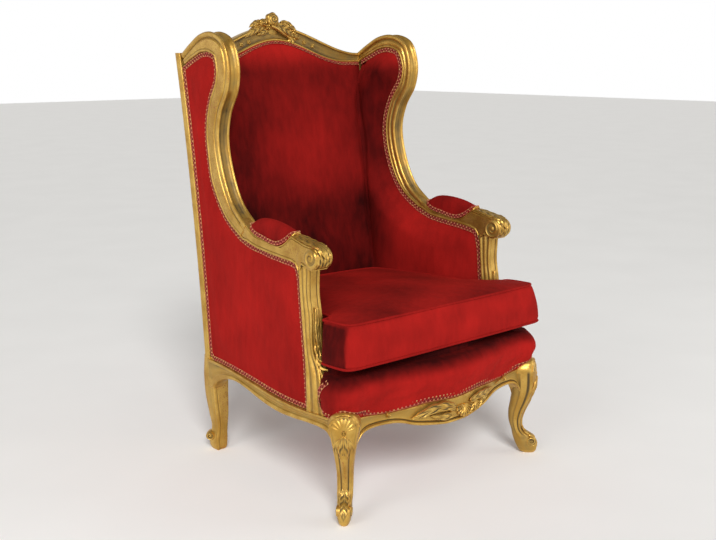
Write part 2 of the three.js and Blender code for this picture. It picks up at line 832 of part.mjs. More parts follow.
// Half outline of the tight seat, stuffed out by a bulge: [x, y] from the front's middle to the rear.
function platformHalf(bulge) {
  const front = [0, 70, 140, 205, 262].map((x) => [x, frontRailY(x) + 4 - bulge]);
  const corner = [[314 + bulge, -309 - 0.6 * bulge], [334 + 0.8 * bulge, -288], [327 + 0.6 * bulge, -246]];
  return [...front, ...corner, ...PLATFORM_REAR];
}

function seatPlatform() {
  const levels = [[246.5, 0], [264, 11], [296, 20], [322, 16], [342, -2], [PLATFORM_TOP, -34]];
  const rings = levels.map(([z, bulge]) => {
    const half = platformHalf(Math.max(bulge, -8)).map(([x, y]) => {
      const shrink = bulge < -8 ? 0.94 : 1;
      return [x * shrink, y * shrink];
    });
    const other = half.slice(1).reverse().map(([x, y]) => [-x, y]);
    const lift = (x) => (z < 250 ? frontRailTop(x) - SEAT_RAIL_TOP : 0);
    const fall = (y) => (z > 340 ? 7 * clamp((y + 100) / 280, 0, 1) : 0);
    return [...half, ...other].map(([x, y]) => point(x, y, z + (y < -290 ? lift(x) : 1) - fall(y)));
  });
  return loft(rings);
}

// Half outline of the loose cushion at its widest: [x, y] from the middle of the front.
function cushionHalf() {
  return [
    [0, -357], [130, -352], [262, -339], [322, -327], [337, -305], [336, -252], [320, -222],
    [276, -208], [266, -110], [252, 20], [234, 130], [220, 178], [150, 197],
  ];
}

function cushionTop(y) {
  return lerp(CUSHION_FRONT_TOP, CUSHION_REAR_TOP, clamp((y + 320) / 520, 0, 1));
}

function seatCushion() {
  const half = cushionHalf();
  const outline = [...half, [0, 206], ...half.slice(1).reverse().map(([x, y]) => [-x, y])];
  const levels = [[0.02, 0.96], [0.1, 1], [0.92, 0.99], [1, 0.965], [1.08, 0.55]];
  const rings = levels.map(([up, size]) => outline.map(([x, y]) => {
    const lean = y < -200 ? 24 * up * clamp((-200 - y) / 110, 0, 1) : 0;
    const py = y * size + lean + (1 - size) * -60;
    return point(x * size, py, cushionTop(y) - CUSHION_THICK * (1 - up));
  }));
  return loft(rings);
}

// Braid along the foot of the tight seat, on top of the front rail.
function frontBraid() {
  const low = platformHalf(1.5).slice(0, 8);
  const high = platformHalf(10).slice(0, 8);
  const stations = low.map(([x, y], i) => {
    const foot = point(x, y, frontRailTop(x) + 1.8);
    return {
      a: foot,
      b: point(high[i][0], high[i][1], foot.z + BRAID_WIDTH),
      out: point(high[i][0] - x, high[i][1] - y, 0).normalize(),
    };
  });
  const flip = (v) => point(-v.x, v.y, v.z);
  const flipped = stations.slice(1).map(({ a, b, out }) => ({ a: flip(a), b: flip(b), out: flip(out) }));
  return braid([...flipped.reverse(), ...stations], false);
}

// ---- arm pads -----------------------------------------------------------------------------

const PAD_TOP = [
  [-133, 636], [-124, 643], [-108, 647], [-71, 654], [-34, 657], [0, 655], [26, 648], [40, 641],
];

function armPad() {
  const rings = range(8).map((i) => {
    const t = i / 7;
    const y = lerp(-128, 36, t);
    const low = table(ARM, y) + 0.5;
    const high = Math.max(table(PAD_TOP, y), low + 6);
    const half = 17.5 * (1 - Math.abs(2 * t - 1) ** 5 * 0.45);
    const middle = sideX(y, low);
    return [
      [-0.9, 0], [-1, 0.35], [-0.62, 0.86], [0, 1], [0.62, 0.86], [1, 0.35], [0.9, 0],
    ].map(([across, up]) => point(middle + across * half, y, lerp(low, high, up)));
  });
  return loft(rings);
}

function armPadBraid() {
  const loop = range(14).map((i) => {
    const angle = 2 * Math.PI * i / 14;
    const y = -46 + 87 * Math.sign(Math.cos(angle)) * Math.abs(Math.cos(angle)) ** 0.6;
    const across = 20 * Math.sign(Math.sin(angle)) * Math.abs(Math.sin(angle)) ** 0.6;
    const low = table(ARM, y);
    const foot = point(sideX(y, low) + across, y, low + 2.4);
    const out = point(Math.sin(angle), Math.cos(angle) * 0.5, 0).normalize();
    return { a: foot, b: foot.clone().add(point(0, 0, 9)), out };
  });
  return braid(loop, true);
}

// ---- the chair ----------------------------------------------------------------------------

const chair = new THREE.Group();

function add(name, geometry, finish) {
  const shape = geometry.index ? geometry.toNonIndexed() : geometry;
  shape.computeVertexNormals();
  const mesh = new THREE.Mesh(shape, new THREE.MeshStandardMaterial(finish));
  mesh.name = name;
  chair.add(mesh);
}

function addPair(name, geometry, finish) {
  add(`${name}_left`, geometry, finish);
  add(`${name}_right`, mirrored(geometry), finish);
}

const sidePanelBody = sidePanel();
const sideBraidBody = sideBraid();
const backLegBody = backLeg();
const frontLegBody = frontLeg();
const wingBody = fitTo(wingFrame(), backLegBody, sidePanelBody);
const armBody = fitTo(armRail(), wingBody);
const sideRailBody = fitTo(sideRail(), frontLegBody, backLegBody);
const armPostBody = fitTo(armPost(), sideRailBody, armBody, frontLegBody);
const frontRailBody = fitTo(
  join(frontRail(), ...railCarving()),
  frontLegBody, mirrored(frontLegBody),
);
const crestBody = fitTo(crestRail(), backLegBody, mirrored(backLegBody), wingBody, mirrored(wingBody));
const backRailBody = fitTo(backRail(), backLegBody, mirrored(backLegBody));
const armPadBraidBody = fitTo(armPadBraid(), armBody);
const insidePadBody = fitTo(insideSidePad(), wingBody, armBody);
const insideBraidBody = fitTo(insideBraid(), insidePadBody);
const backPadBody = insideBackPad();
const frontBraidBody = frontBraid();
const platformBody = fitTo(
  seatPlatform(), frontBraidBody, armPostBody, mirrored(armPostBody), frontLegBody, mirrored(frontLegBody),
);

addPair('front_leg', frontLegBody, GILT);
addPair('back_leg', backLegBody, GILT);
add('front_rail', frontRailBody, GILT);
addPair('side_rail', sideRailBody, GILT);
add('back_rail', backRailBody, GILT);
addPair('arm_post', armPostBody, GILT);
addPair('arm', armBody, GILT);
addPair('wing_frame', wingBody, GILT);
add('crest_rail', crestBody, GILT);
add('seat_platform', platformBody, VELVET);
add('seat_cushion', seatCushion(), VELVET);
add('inside_back_pad', backPadBody, VELVET);
add('outside_back_panel', outsideBackPanel(), VELVET);
addPair('inside_side_pad', insidePadBody, VELVET);
addPair('side_panel', sidePanelBody, VELVET);
addPair('arm_pad', armPad(), VELVET);
addPair('gimp_side', sideBraidBody, BRAID);
addPair('gimp_inside', insideBraidBody, BRAID);
addPair('gimp_arm_pad', armPadBraidBody, BRAID);
add('gimp_inside_back', insideBackBraid(), BRAID);
add('gimp_outside_back', outsideBackBraid(), BRAID);
add('gimp_front', frontBraidBody, BRAID);

export default chair;
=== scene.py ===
import math

import bmesh
import bpy
import numpy as np
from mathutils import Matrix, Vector


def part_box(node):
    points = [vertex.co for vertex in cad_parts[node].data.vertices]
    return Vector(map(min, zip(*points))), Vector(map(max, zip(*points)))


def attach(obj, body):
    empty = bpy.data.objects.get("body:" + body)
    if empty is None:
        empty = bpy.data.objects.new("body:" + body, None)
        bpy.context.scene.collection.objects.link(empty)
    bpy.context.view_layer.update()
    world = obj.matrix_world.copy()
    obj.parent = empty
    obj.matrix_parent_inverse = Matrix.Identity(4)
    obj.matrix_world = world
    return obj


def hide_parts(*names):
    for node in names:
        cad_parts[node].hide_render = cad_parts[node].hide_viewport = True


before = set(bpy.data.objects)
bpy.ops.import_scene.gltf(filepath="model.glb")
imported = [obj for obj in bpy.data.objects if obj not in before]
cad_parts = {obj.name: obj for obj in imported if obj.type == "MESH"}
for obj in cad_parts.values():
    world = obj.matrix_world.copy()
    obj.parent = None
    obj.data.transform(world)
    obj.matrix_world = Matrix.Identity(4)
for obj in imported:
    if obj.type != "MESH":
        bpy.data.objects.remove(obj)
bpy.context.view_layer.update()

# Louis XV wing armchair: carved and gilded beech, crimson velvet, gimp braid and a loose boxed cushion.
# Shapes are worked out in millimetres in the frame's axes (+Z up, the chair faces -Y, left is +X)
# and become metres where their mesh is made.

MM = 0.001
BODY = "root"
SIDES = {"left": 1, "right": -1}


def high(node):
    """Upper corner of a CAD node's box."""
    return np.array(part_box(node)[1]) / MM


SEAT_RAIL_TOP = high("front_rail")[2]
RAIL_TOP_REAR = high("back_rail")[2]
POST_TOP = high("back_leg_left")[2]
CREST_END = high("crest_rail")[0]
BRAID_WIDTH = 11
WOOD = 36                     # thickness of the back posts and of the wings' wood
POST_DEPTH = 38
POST_SHOWING = 26             # wood of the back post that shows beside the braid
CUSHION_THICK = 104
FRONT_LEG = (317, -310)       # middle of a front leg's foot on the floor, as x, y
BACK_LEG = (282, 255)


# ---- curves and surfaces ---------------------------------------------------------------------

def ease(value, start, end):
    t = np.clip((value - start) / (end - start), 0, 1)
    return t * t * (3 - 2 * t)


def bump(value, middle, width):
    return np.exp(-(((value - middle) / width) ** 2))


def table(rows, keys):
    """Smooth values of [key, value, ...] rows at the given keys."""
    rows = np.array(rows, float)
    x, y = rows[:, 0], rows[:, 1:]
    slope = np.gradient(y, x, axis=0)
    keys = np.atleast_1d(keys).astype(float)
    i = np.clip(np.searchsorted(x, keys) - 1, 0, len(x) - 2)
    step = (x[i + 1] - x[i])[:, None]
    t = np.clip((keys - x[i])[:, None] / step, 0, 1)
    start, end = y[i], y[i + 1]
    out, into = slope[i] * step, slope[i + 1] * step
    return (
        start * (2 * t**3 - 3 * t**2 + 1) + out * (t**3 - 2 * t**2 + t)
        + end * (3 * t**2 - 2 * t**3) + into * (t**3 - t**2)
    )


def spaced(points, count):
    """Points at even distances along a line of points."""
    points = np.array(points, float)
    run = np.concatenate([[0], np.cumsum(np.linalg.norm(np.diff(points, axis=0), axis=1))])
    at = np.linspace(0, run[-1], count)
    return np.stack([np.interp(at, run, points[:, k]) for k in range(points.shape[1])], 1)


def through(knots, count, closed=False):
    """Smooth centripetal curve through knots, at even distances."""
    knots = np.array(knots, float)
    if closed:
        knots = np.concatenate([knots[-1:], knots, knots[:2]])
    else:
        knots = np.concatenate([[2 * knots[0] - knots[1]], knots, [2 * knots[-1] - knots[-2]]])
    t = np.linspace(0, 1, 24, endpoint=False)[:, None]
    line = []
    for p0, p1, p2, p3 in zip(knots, knots[1:], knots[2:], knots[3:]):
        d0, d1, d2 = (max(np.linalg.norm(b - a), 1e-6) ** 0.5 for a, b in ((p0, p1), (p1, p2), (p2, p3)))
        out = d1 * ((p1 - p0) / d0 - (p2 - p0) / (d0 + d1) + (p2 - p1) / d1)
        into = d1 * ((p2 - p1) / d1 - (p3 - p1) / (d1 + d2) + (p3 - p2) / d2)
        line.append(
            p1 * (2 * t**3 - 3 * t**2 + 1) + out * (t**3 - 2 * t**2 + t)
            + p2 * (3 * t**2 - 2 * t**3) + into * (t**3 - t**2)
        )
    line.append(knots[-2:-1])
    return spaced(np.concatenate(line), count)


def rounded(corners, steps=5):
    """A closed section through [a, b, cut] corners, each one rounded off over its cut length."""
    corners = np.array(corners, float)
    places, cuts = corners[:, :2], corners[:, 2]
    t = np.linspace(0, 1, steps)[:, None]
    line = []
    for i, (corner, cut) in enumerate(zip(places, cuts)):
        before = places[i - 1] - corner
        after = places[(i + 1) % len(places)] - corner
        back, ahead = np.linalg.norm(before), np.linalg.norm(after)
        start = corner + before / back * min(cut, 0.48 * back)
        end = corner + after / ahead * min(cut, 0.48 * ahead)
        line.append((1 - t) ** 2 * start + 2 * t * (1 - t) * corner + t**2 * end)
    return np.concatenate(line)


def unit(vectors):
    return vectors / np.maximum(np.linalg.norm(vectors, axis=-1, keepdims=True), 1e-9)


def xyz(x, y, z):
    """Places from their three measures; a measure that stays the same is given once."""
    return np.stack(np.broadcast_arrays(x, y, z), -1)


def skin(places, along=False):
    """Closed surface over rows x columns of places. The last column joins the first, and along joins
    the last row to the first; without it both ends are capped."""
    places = np.asarray(places, float)
    places = np.concatenate([places, places[:, :1]], 1)
    if along:
        places = np.concatenate([places, places[:1]])
    rows, columns = places.shape[:2]
    bm = bmesh.new()
    bm.loops.layers.uv.new("UVMap")
    bmesh.ops.create_grid(bm, x_segments=columns - 1, y_segments=rows - 1, size=0.5, calc_uvs=True)
    for vert, place in zip(bm.verts, (places.reshape(-1, 3) * MM).tolist()):
        vert.co = place
    bmesh.ops.remove_doubles(bm, verts=bm.verts, dist=1e-6)
    rim = [edge for edge in bm.edges if edge.is_boundary]
    if rim:
        bmesh.ops.holes_fill(bm, edges=rim, sides=0)
    bmesh.ops.recalc_face_normals(bm, faces=bm.faces)
    return bm


def tube(line, radius, closed=False, sides=12):
    """A round cord along a line of points."""
    line = np.asarray(line, float)
    if closed:
        ahead = unit(np.roll(line, -1, 0) - np.roll(line, 1, 0))
    else:
        ahead = unit(np.gradient(line, axis=0))
    side = unit(np.cross(ahead, [0.02, 0.03, 1]))
    up = np.cross(side, ahead)
    angle = np.linspace(0, 2 * np.pi, sides, endpoint=False)
    radius = np.reshape(radius, (-1, 1)) * np.ones((len(line), 1))
    a, b = np.cos(angle) * radius, np.sin(angle) * radius
    return skin(line[:, None] + a[..., None] * side[:, None] + b[..., None] * up[:, None], along=closed)


# ---- pieces -------------------------------------------------------------------------------------

def hollows(mesh, passes=6):
    """How deep each place lies in the carving, in millimetres: positive in hollows, negative on ridges."""
    count = len(mesh.vertices)
    co = np.zeros(count * 3)
    mesh.vertices.foreach_get("co", co)
    co = co.reshape(-1, 3)
    normal = np.zeros(count * 3)
    mesh.vertices.foreach_get("normal", normal)
    edges = np.zeros(len(mesh.edges) * 2, int)
    mesh.edges.foreach_get("vertices", edges)
    a, b = edges.reshape(-1, 2).T
    degree = np.maximum(np.bincount(a, minlength=count) + np.bincount(b, minlength=count), 1)
    smooth = co.copy()
    for _ in range(passes):
        total = np.stack([
            np.bincount(a, smooth[b, k], count) + np.bincount(b, smooth[a, k], count) for k in range(3)
        ], 1)
        smooth = 0.5 * smooth + 0.5 * total / degree[:, None]
    return ((smooth - co) * normal.reshape(-1, 3)).sum(1) / MM


def piece(name, parts, material, nodes, angle=38, mirror=False, painted_light_and_nap=None, added_darkening=None):
    """One finished piece from its bmeshes: it rides on the chair and stands for its CAD nodes.
    An added darkening of the gilding counts as more hollow for its wax, in millimetres, from x, y, z and its
    facing; on the front legs it is painted shade on their sides.
    The velvet's brightness, 0 to 1, comes from x, y, z and the way the surface faces: painted light and shade
    on each piece, with patches of brushed nap."""
    whole = bmesh.new()
    for part in parts:
        step = bpy.data.meshes.new("part")
        part.to_mesh(step)
        part.free()
        whole.from_mesh(step)
        bpy.data.meshes.remove(step)
    if mirror:
        bmesh.ops.scale(whole, vec=(-1, 1, 1), verts=whole.verts)
        bmesh.ops.reverse_faces(whole, faces=whole.faces)
    mesh = bpy.data.meshes.new(name)
    whole.to_mesh(mesh)
    whole.free()
    mesh.shade_smooth()
    mesh.set_sharp_from_angle(angle=math.radians(angle))
    mesh.materials.append(material)
    at = np.array([vert.co for vert in mesh.vertices]) / MM
    facing = np.array([vert.normal for vert in mesh.vertices])
    if painted_light_and_nap is None:
        # the hollow also takes the added darkening: on the front legs, painted shade on their sides
        values = hollows(mesh) + (0 if added_darkening is None else added_darkening(*at.T, facing))
        mesh.attributes.new("hollow", "FLOAT", "POINT").data.foreach_set("value", values)
    else:
        # the velvet's brightness: painted light and shade on each piece, with brushed nap patches
        values = np.clip(painted_light_and_nap(*at.T, facing) + np.zeros(len(at)), 0, 1)
        mesh.attributes.new("painted_light_and_nap", "FLOAT", "POINT").data.foreach_set("value", values)
    made = bpy.data.objects.new(name, mesh)
    bpy.context.scene.collection.objects.link(made)
    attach(made, BODY)
    if nodes:
        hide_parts(*nodes)
    return made


def pair(name, parts, material, node, painted_light_and_nap=None, added_darkening=None):
    """The same piece on the sitter's left and mirrored on the right."""
    made = []
    for side, sign in SIDES.items():
        copies = [part.copy() for part in parts]
        nodes = [f"{node}_{side}"]
        made.append(piece(
            f"{name}_{side}", copies, material, nodes, mirror=sign < 0, painted_light_and_nap=painted_light_and_nap, added_darkening=added_darkening))
    for part in parts:
        part.free()
    return made


# ---- where the chair's sides, rails and back run -------------------------------------------------

def post_rear(z):
    up = (z - 250) / 1000
    return 269 + 60 * up + 61.7 * up * up


def side_x(y, z):
    """Middle of the wood of a side: the sides draw together towards the rear."""
    rear = 283 + 10 * (z - 260) / 780
    return 305 + (rear - 305) * np.clip((y + 210) / 545, 0, 1) ** 1.6


WING_OUTER = [
    [321, 1040], [278, 1065], [232, 1086], [180, 1091], [130, 1070], [106, 1010], [114, 952],
    [148, 895], [162, 838], [147, 760], [107, 683], [50, 636],
]
# Depth of a wing's wood, from its outer edge to the braid, by the share of its length: seen from inside
# the chair and from outside, where the border of the panel lies lower.
WING_DEPTH = [
    [[0, 26], [0.1, 33], [0.3, 35], [0.4, 30], [0.55, 33], [0.85, 32], [1, 21]],
    [[0, 30], [0.1, 40], [0.2, 49], [0.35, 54], [0.6, 54], [0.7, 52], [0.78, 57], [0.88, 50], [1, 40]],
]
# Border of the upholstery under the arm rail as [y, z], on the inside and on the outside of a side.
ARM_BORDER = [
    [[20, 603.5], [-20, 597.5], [-90, 590.5], [-128, 585], [-144, 580], [-153, 570], [-156, 556]],
    [
        [42, 594], [22, 590], [-9, 587], [-40, 582], [-98, 577], [-130, 575], [-146, 571], [-154, 562],
        [-159, 546],
    ],
]
INSIDE, OUTSIDE = 0, 1        # the two faces of a side
# Arm rail as [y, top, underside, half width], from its rolled end to the wing.
ARM = [
    [-205, 620, 566, 22], [-178, 623, 571, 20], [-150, 629, 581, 18], [-130, 632, 585, 18],
    [-112, 619, 588, 18], [-90, 607, 591, 18], [-20, 611, 598, 18], [20, 620, 604, 18], [48, 636, 616, 18],
    [62, 642, 621, 17], [78, 650, 632, 16],
]
SCROLL_AT = (-208, 593)
SCROLL_RADIUS = 27
SCROLL_HALF = 23
ARM_POST_FRONT = [
    [226, -250], [246, -246], [262, -242], [279, -241], [300, -236], [320, -229], [342, -220], [364, -210],
    [400, -204], [450, -203], [505, -194], [564, -196],
]
ARM_POST_REAR = [[226, -185], [262, -186.4], [364, -179], [460, -168], [564, -158.7]]


def wing_edges(count, face):
    """Outer edge of the wing frame as [y, z], the way in from it and the depth of its wood on a face."""
    outer = through(WING_OUTER, count)
    ahead = unit(np.gradient(outer, axis=0))
    depth = table(WING_DEPTH[face], np.linspace(0, 1, count))[:, 0]
    return outer, np.stack([-ahead[:, 1], ahead[:, 0]], 1), depth


SIDE_RAIL_TOP = [
    [-292, 241], [-215, 235], [-138, 232], [-61, 235], [16, 243], [93, 250.5], [169, 255.5],
    [246, RAIL_TOP_REAR],
]
SIDE_RAIL_BOTTOM = [
    [-306, 146], [-297, 158], [-287, 174], [-277, 189], [-266, 200], [-240, 206], [-200, 206], [-140, 201.5],
    [-75, 200], [-7, 208], [62, 222], [105, 228], [140, 226], [175, 216], [205, 200], [228, 178],
]
FRONT_RAIL_TOP = [
    [-40, 235], [0, 235], [97, 237.5], [150, 233.5], [203, 232], [245, 236], [276, 238.5], [340, 239],
]
FRONT_RAIL_BOTTOM = [
    [-40, 176], [0, 176], [35, 176.5], [60, 179.5], [85, 183], [110, 187], [130, 192], [150, 199],
    [170, 204], [190, 206], [235, 206], [252, 204], [265, 199], [276, 190], [287, 172], [297, 146],
]


def side_rail_top(y):
    return table(SIDE_RAIL_TOP, y)[:, 0]


def side_rail_bottom(y):
    return table(SIDE_RAIL_BOTTOM, y)[:, 0]


def both_halves(rows, x):
    """Values from [distance from the middle of the chair, value] rows."""
    return table(rows, np.abs(x).ravel()).reshape(np.shape(x))


def front_rail_top(x):
    return both_halves(FRONT_RAIL_TOP, x)


def front_rail_bottom(x):
    return both_halves(FRONT_RAIL_BOTTOM, x)


def side_opening(face, count=420):
    """Outline of the opening in a side that the upholstery fills, evenly spaced, on one face of the side."""
    outer, inward, depth = wing_edges(60, face)
    support_z = np.array([535, 460, 364, 275])
    support = np.stack([np.interp(support_z, *np.array(ARM_POST_REAR).T), support_z], 1)
    rail_y = np.linspace(-187, 230, 12)
    rail = np.stack([rail_y, side_rail_top(rail_y)], 1)
    post_z = np.linspace(272, 1006, 12)
    post = np.stack([post_rear(post_z) - POST_SHOWING, post_z], 1)
    line = np.concatenate([outer + inward * depth[:, None], ARM_BORDER[face], support, rail, post])
    return spaced(np.concatenate([line, line[:1]]), count + 1)[:-1]


def front_part(outline):
    """The part of a side opening along wing, arm and arm post, without rail and back post."""
    corner = np.argmin(np.hypot(outline[:, 0] + 190, outline[:, 1] - 240))
    return outline[:corner + 1]


def inset(outline, distance):
    """A closed outline moved inwards."""
    after = unit(np.roll(outline, -1, 0) - outline)
    before = unit(outline - np.roll(outline, 1, 0))
    a, b = outline.T
    turn = np.sign(np.sum(a * np.roll(b, -1) - np.roll(a, -1) * b))
    both = unit(before + after)
    normal = turn * np.stack([-both[:, 1], both[:, 0]], 1)
    for _ in range(3):
        normal = unit(normal + np.roll(normal, 1, 0) + np.roll(normal, -1, 0))
    return outline + distance * normal


def distance_to(line, y, z):
    """Least distance from each y, z to a line of points."""
    line = np.asarray(line, float)
    points = np.stack([y.ravel(), z.ravel()], 1)
    start, step = line[:-1], np.diff(line, axis=0)
    away = points[:, None] - start[None]
    t = np.clip((away * step).sum(2) / np.maximum((step**2).sum(1), 1e-9), 0, 1)
    return np.sqrt(((away - t[..., None] * step) ** 2).sum(2)).min(1).reshape(y.shape)


def front_rail_y(x):
    return -(315 + 40 * np.cos(np.pi * np.clip(x / 540, -0.5, 0.5)) ** 2)


def side_rail_x(y):
    return side_x(y, 260) + 23 - 5 * np.clip((y + 280) / 500, 0, 1)


def crest_front(x):
    return 335 - 30 * (x / 270) ** 2


def crest_rear(x):
    return 368 - 14 * (x / 270) ** 2


def crest_top(x):
    return 1042 + 71 * np.cos(np.pi * np.clip(x / 530, -0.5, 0.5)) ** 1.7


def crest_bottom(x):
    return 1015 + 58 * np.cos(np.pi * np.clip(x / 450, -0.5, 0.5)) ** 2


def corner_x(z):
    return 232 + 13 * (z - 449) / 559


def corner_y(z):
    return 198 + 92 * np.maximum(0, z - 449) / 559


def back_front(x, z):
    return 217 + 119 * np.clip((z - 447) / 620, 0, 1) - 26 * (x / 250) ** 2


def back_bulge(x, z):
    return 9 * np.clip((z - 260) / 780, 0, 1) * (1 - (x / 262) ** 2)


# ---- finishes -----------------------------------------------------------------------------------

def linear(code):
    """Linear colour of an sRGB hex value."""
    channels = [int(code[i:i + 2], 16) / 255 for i in (0, 2, 4)]
    return tuple(c / 12.92 if c <= 0.04045 else ((c + 0.055) / 1.055) ** 2.4 for c in channels) + (1.0,)


def add(tree, kind, values=None, links=None, **settings):
    """Adds a node with its settings, its input values and what is linked into its inputs."""
    made = tree.nodes.new(kind)
    for key, value in settings.items():
        setattr(made, key, value)
    for socket, value in (values or {}).items():
        made.inputs[socket].default_value = value
    for socket, source in (links or {}).items():
        tree.links.new(source, made.inputs[socket])
    return made


def new_material(name):
    """A material with its tree, its surface shader and its Object coordinates."""
    made = bpy.data.materials.new(name)
    made.use_nodes = True
    tree = made.node_tree
    return made, tree, tree.nodes["Principled BSDF"], add(tree, "ShaderNodeTexCoord").outputs["Object"]


def remap(tree, value, start, end, to_start=0.0, to_end=1.0):
    node = add(tree, "ShaderNodeMapRange", {1: start, 2: end, 3: to_start, 4: to_end}, {0: value})
    return node.outputs[0]


def mixed(tree, factor, first, second):
    """Colour from first to second by a factor; each is a colour or a socket."""
    node = add(tree, "ShaderNodeMix", data_type="RGBA")
    for socket, value in ((0, factor), (6, first), (7, second)):
        if isinstance(value, (tuple, float, int)):
            node.inputs[socket].default_value = value
        else:
            tree.links.new(value, node.inputs[socket])
    return node.outputs[2]


def antique_gilding():
    """Water-gilt beech, toned: warm leaf on the ridges, olive-brown wax in the hollows, and red bole
    where the leaf is rubbed through. The same olive-brown paints shade on the sides of the front legs."""
    made, tree, shader, place = new_material("antique_gilding")
    hollow = add(tree, "ShaderNodeAttribute", attribute_name="hollow").outputs["Fac"]
    patches = add(tree, "ShaderNodeTexNoise", {"Scale": 24, "Detail": 4, "Roughness": 0.6}, {"Vector": place})
    grain = {"Scale": 300, "Detail": 3, "Roughness": 0.7}
    speckle = add(tree, "ShaderNodeTexNoise", grain, {"Vector": place})
    depth = remap(tree, hollow, -0.3, 0.35)
    cloudy = add(tree, "ShaderNodeMath", {1: 0.9}, {0: patches.outputs[0]}, operation="MULTIPLY")
    toned = add(tree, "ShaderNodeMath", None, {0: depth, 1: cloudy.outputs[0]}, operation="ADD")
    # wax in the hollows, and the painted shade added on the sides of the front legs
    wax_and_shade = remap(tree, toned.outputs[0], 0.78, 1.4)
    leaf = mixed(tree, remap(tree, patches.outputs[0], 0.38, 0.62), linear("b48a3b"), linear("cfa854"))
    waxed_and_shaded = mixed(tree, wax_and_shade, leaf, linear("4f3c16"))
    ridge = remap(tree, hollow, -0.25, -0.6)
    worn = remap(tree, speckle.outputs[0], 0.54, 0.64)
    rubbed = add(tree, "ShaderNodeMath", None, {0: ridge, 1: worn}, operation="MULTIPLY")
    shown = mixed(tree, rubbed.outputs[0], waxed_and_shaded, linear("a5663c"))
    tree.links.new(shown, shader.inputs["Base Color"])
    tree.links.new(remap(tree, wax_and_shade, 0.0, 1.0, 0.78, 0.2), shader.inputs["Metallic"])
    rough = add(tree, "ShaderNodeMath", None, {
        0: remap(tree, wax_and_shade, 0.0, 1.0, 0.32, 0.6),
        1: remap(tree, speckle.outputs[0], 0.3, 0.7, -0.04, 0.12),
    }, operation="ADD")
    tree.links.new(rough.outputs[0], shader.inputs["Roughness"])
    # gesso waves of about 12 mm and leaf grain of 3 mm, drawn coarser than real so that they show
    waves = add(tree, "ShaderNodeTexNoise", {"Scale": 80, "Detail": 2}, {"Vector": place})
    gesso = add(tree, "ShaderNodeBump", {"Strength": 0.35, "Distance": 0.0014}, {"Height": waves.outputs[0]})
    grain = add(tree, "ShaderNodeBump", {"Strength": 0.35, "Distance": 0.0005}, {
        "Height": speckle.outputs[0], "Normal": gesso.outputs[0]})
    tree.links.new(grain.outputs[0], shader.inputs["Normal"])
    return made


def crimson_velvet():
    """Cut silk-cotton velvet: its pile is brushed both ways, so patches and strokes lie light or dark."""
    made, tree, shader, place = new_material("crimson_velvet")
    # the piece's attribute: painted light and shade, with brushed nap patches, from dark to bright red
    painted_light_and_nap = add(tree, "ShaderNodeAttribute", attribute_name="painted_light_and_nap").outputs["Fac"]
    stretched = add(tree, "ShaderNodeMapping", {"Scale": (1.0, 1.0, 0.3)}, {"Vector": place})
    lay = add(tree, "ShaderNodeTexNoise", {"Scale": 9, "Detail": 3, "Roughness": 0.5, "Distortion": 0.4},
              {"Vector": place})
    strokes = add(tree, "ShaderNodeTexNoise", {"Scale": 60, "Detail": 2, "Roughness": 0.5},
                  {"Vector": stretched.outputs[0]})
    pile = add(tree, "ShaderNodeTexNoise", {"Scale": 900, "Detail": 1}, {"Vector": place})
    patches = remap(tree, lay.outputs[0], 0.3, 0.7, -0.08, 0.08)
    marks = remap(tree, strokes.outputs[0], 0.3, 0.7, -0.06, 0.06)
    uneven = add(tree, "ShaderNodeMath", None, {0: patches, 1: marks}, operation="ADD")
    light = add(tree, "ShaderNodeMath", None, {0: painted_light_and_nap, 1: uneven.outputs[0]}, operation="ADD")
    light.use_clamp = True
    colour = mixed(tree, light.outputs[0], linear("2c0505"), linear("a61c18"))
    tree.links.new(colour, shader.inputs["Base Color"])
    shader.inputs["Roughness"].default_value = 0.9
    shader.inputs["Specular IOR Level"].default_value = 0.06
    shader.inputs["Sheen Weight"].default_value = 0.17
    shader.inputs["Sheen Roughness"].default_value = 0.4
    shader.inputs["Sheen Tint"].default_value = linear("ff4032")
    # brushing tilts the pile in strokes of 25 mm; pile of about 1 mm, drawn coarser than its 0.3 mm
    swept = add(tree, "ShaderNodeBump", {"Strength": 0.3, "Distance": 0.003}, {"Height": strokes.outputs[0]})
    tufts = add(tree, "ShaderNodeBump", {"Strength": 0.25, "Distance": 0.0005}, {
        "Height": pile.outputs[0], "Normal": swept.outputs[0]})
    tree.links.new(tufts.outputs[0], shader.inputs["Normal"])
    return made


def woven_gimp():
    """Gimp braid: dusty pink and old-gold cords looped over a dark red ground."""
    made, tree, shader, place = new_material("woven_gimp")
    hollow = add(tree, "ShaderNodeAttribute", attribute_name="hollow").outputs["Fac"]
    blend = add(tree, "ShaderNodeTexNoise", {"Scale": 90, "Detail": 2}, {"Vector": place})
    thread = mixed(tree, remap(tree, blend.outputs[0], 0.44, 0.56), linear("b5624e"), linear("b98455"))
    colour = mixed(tree, remap(tree, hollow, -0.05, -0.34), linear("6e1214"), thread)
    tree.links.new(colour, shader.inputs["Base Color"])
    shader.inputs["Roughness"].default_value = 0.75
    shader.inputs["Specular IOR Level"].default_value = 0.25
    # thread of about 1 mm
    ply = add(tree, "ShaderNodeTexNoise", {"Scale": 900, "Detail": 2}, {"Vector": place})
    raised = add(tree, "ShaderNodeBump", {"Strength": 0.5, "Distance": 0.0005}, {"Height": ply.outputs[0]})
    tree.links.new(raised.outputs[0], shader.inputs["Normal"])
    return made


GILDING = antique_gilding()
VELVET = crimson_velvet()
GIMP = woven_gimp()


# ---- carving ------------------------------------------------------------------------------------

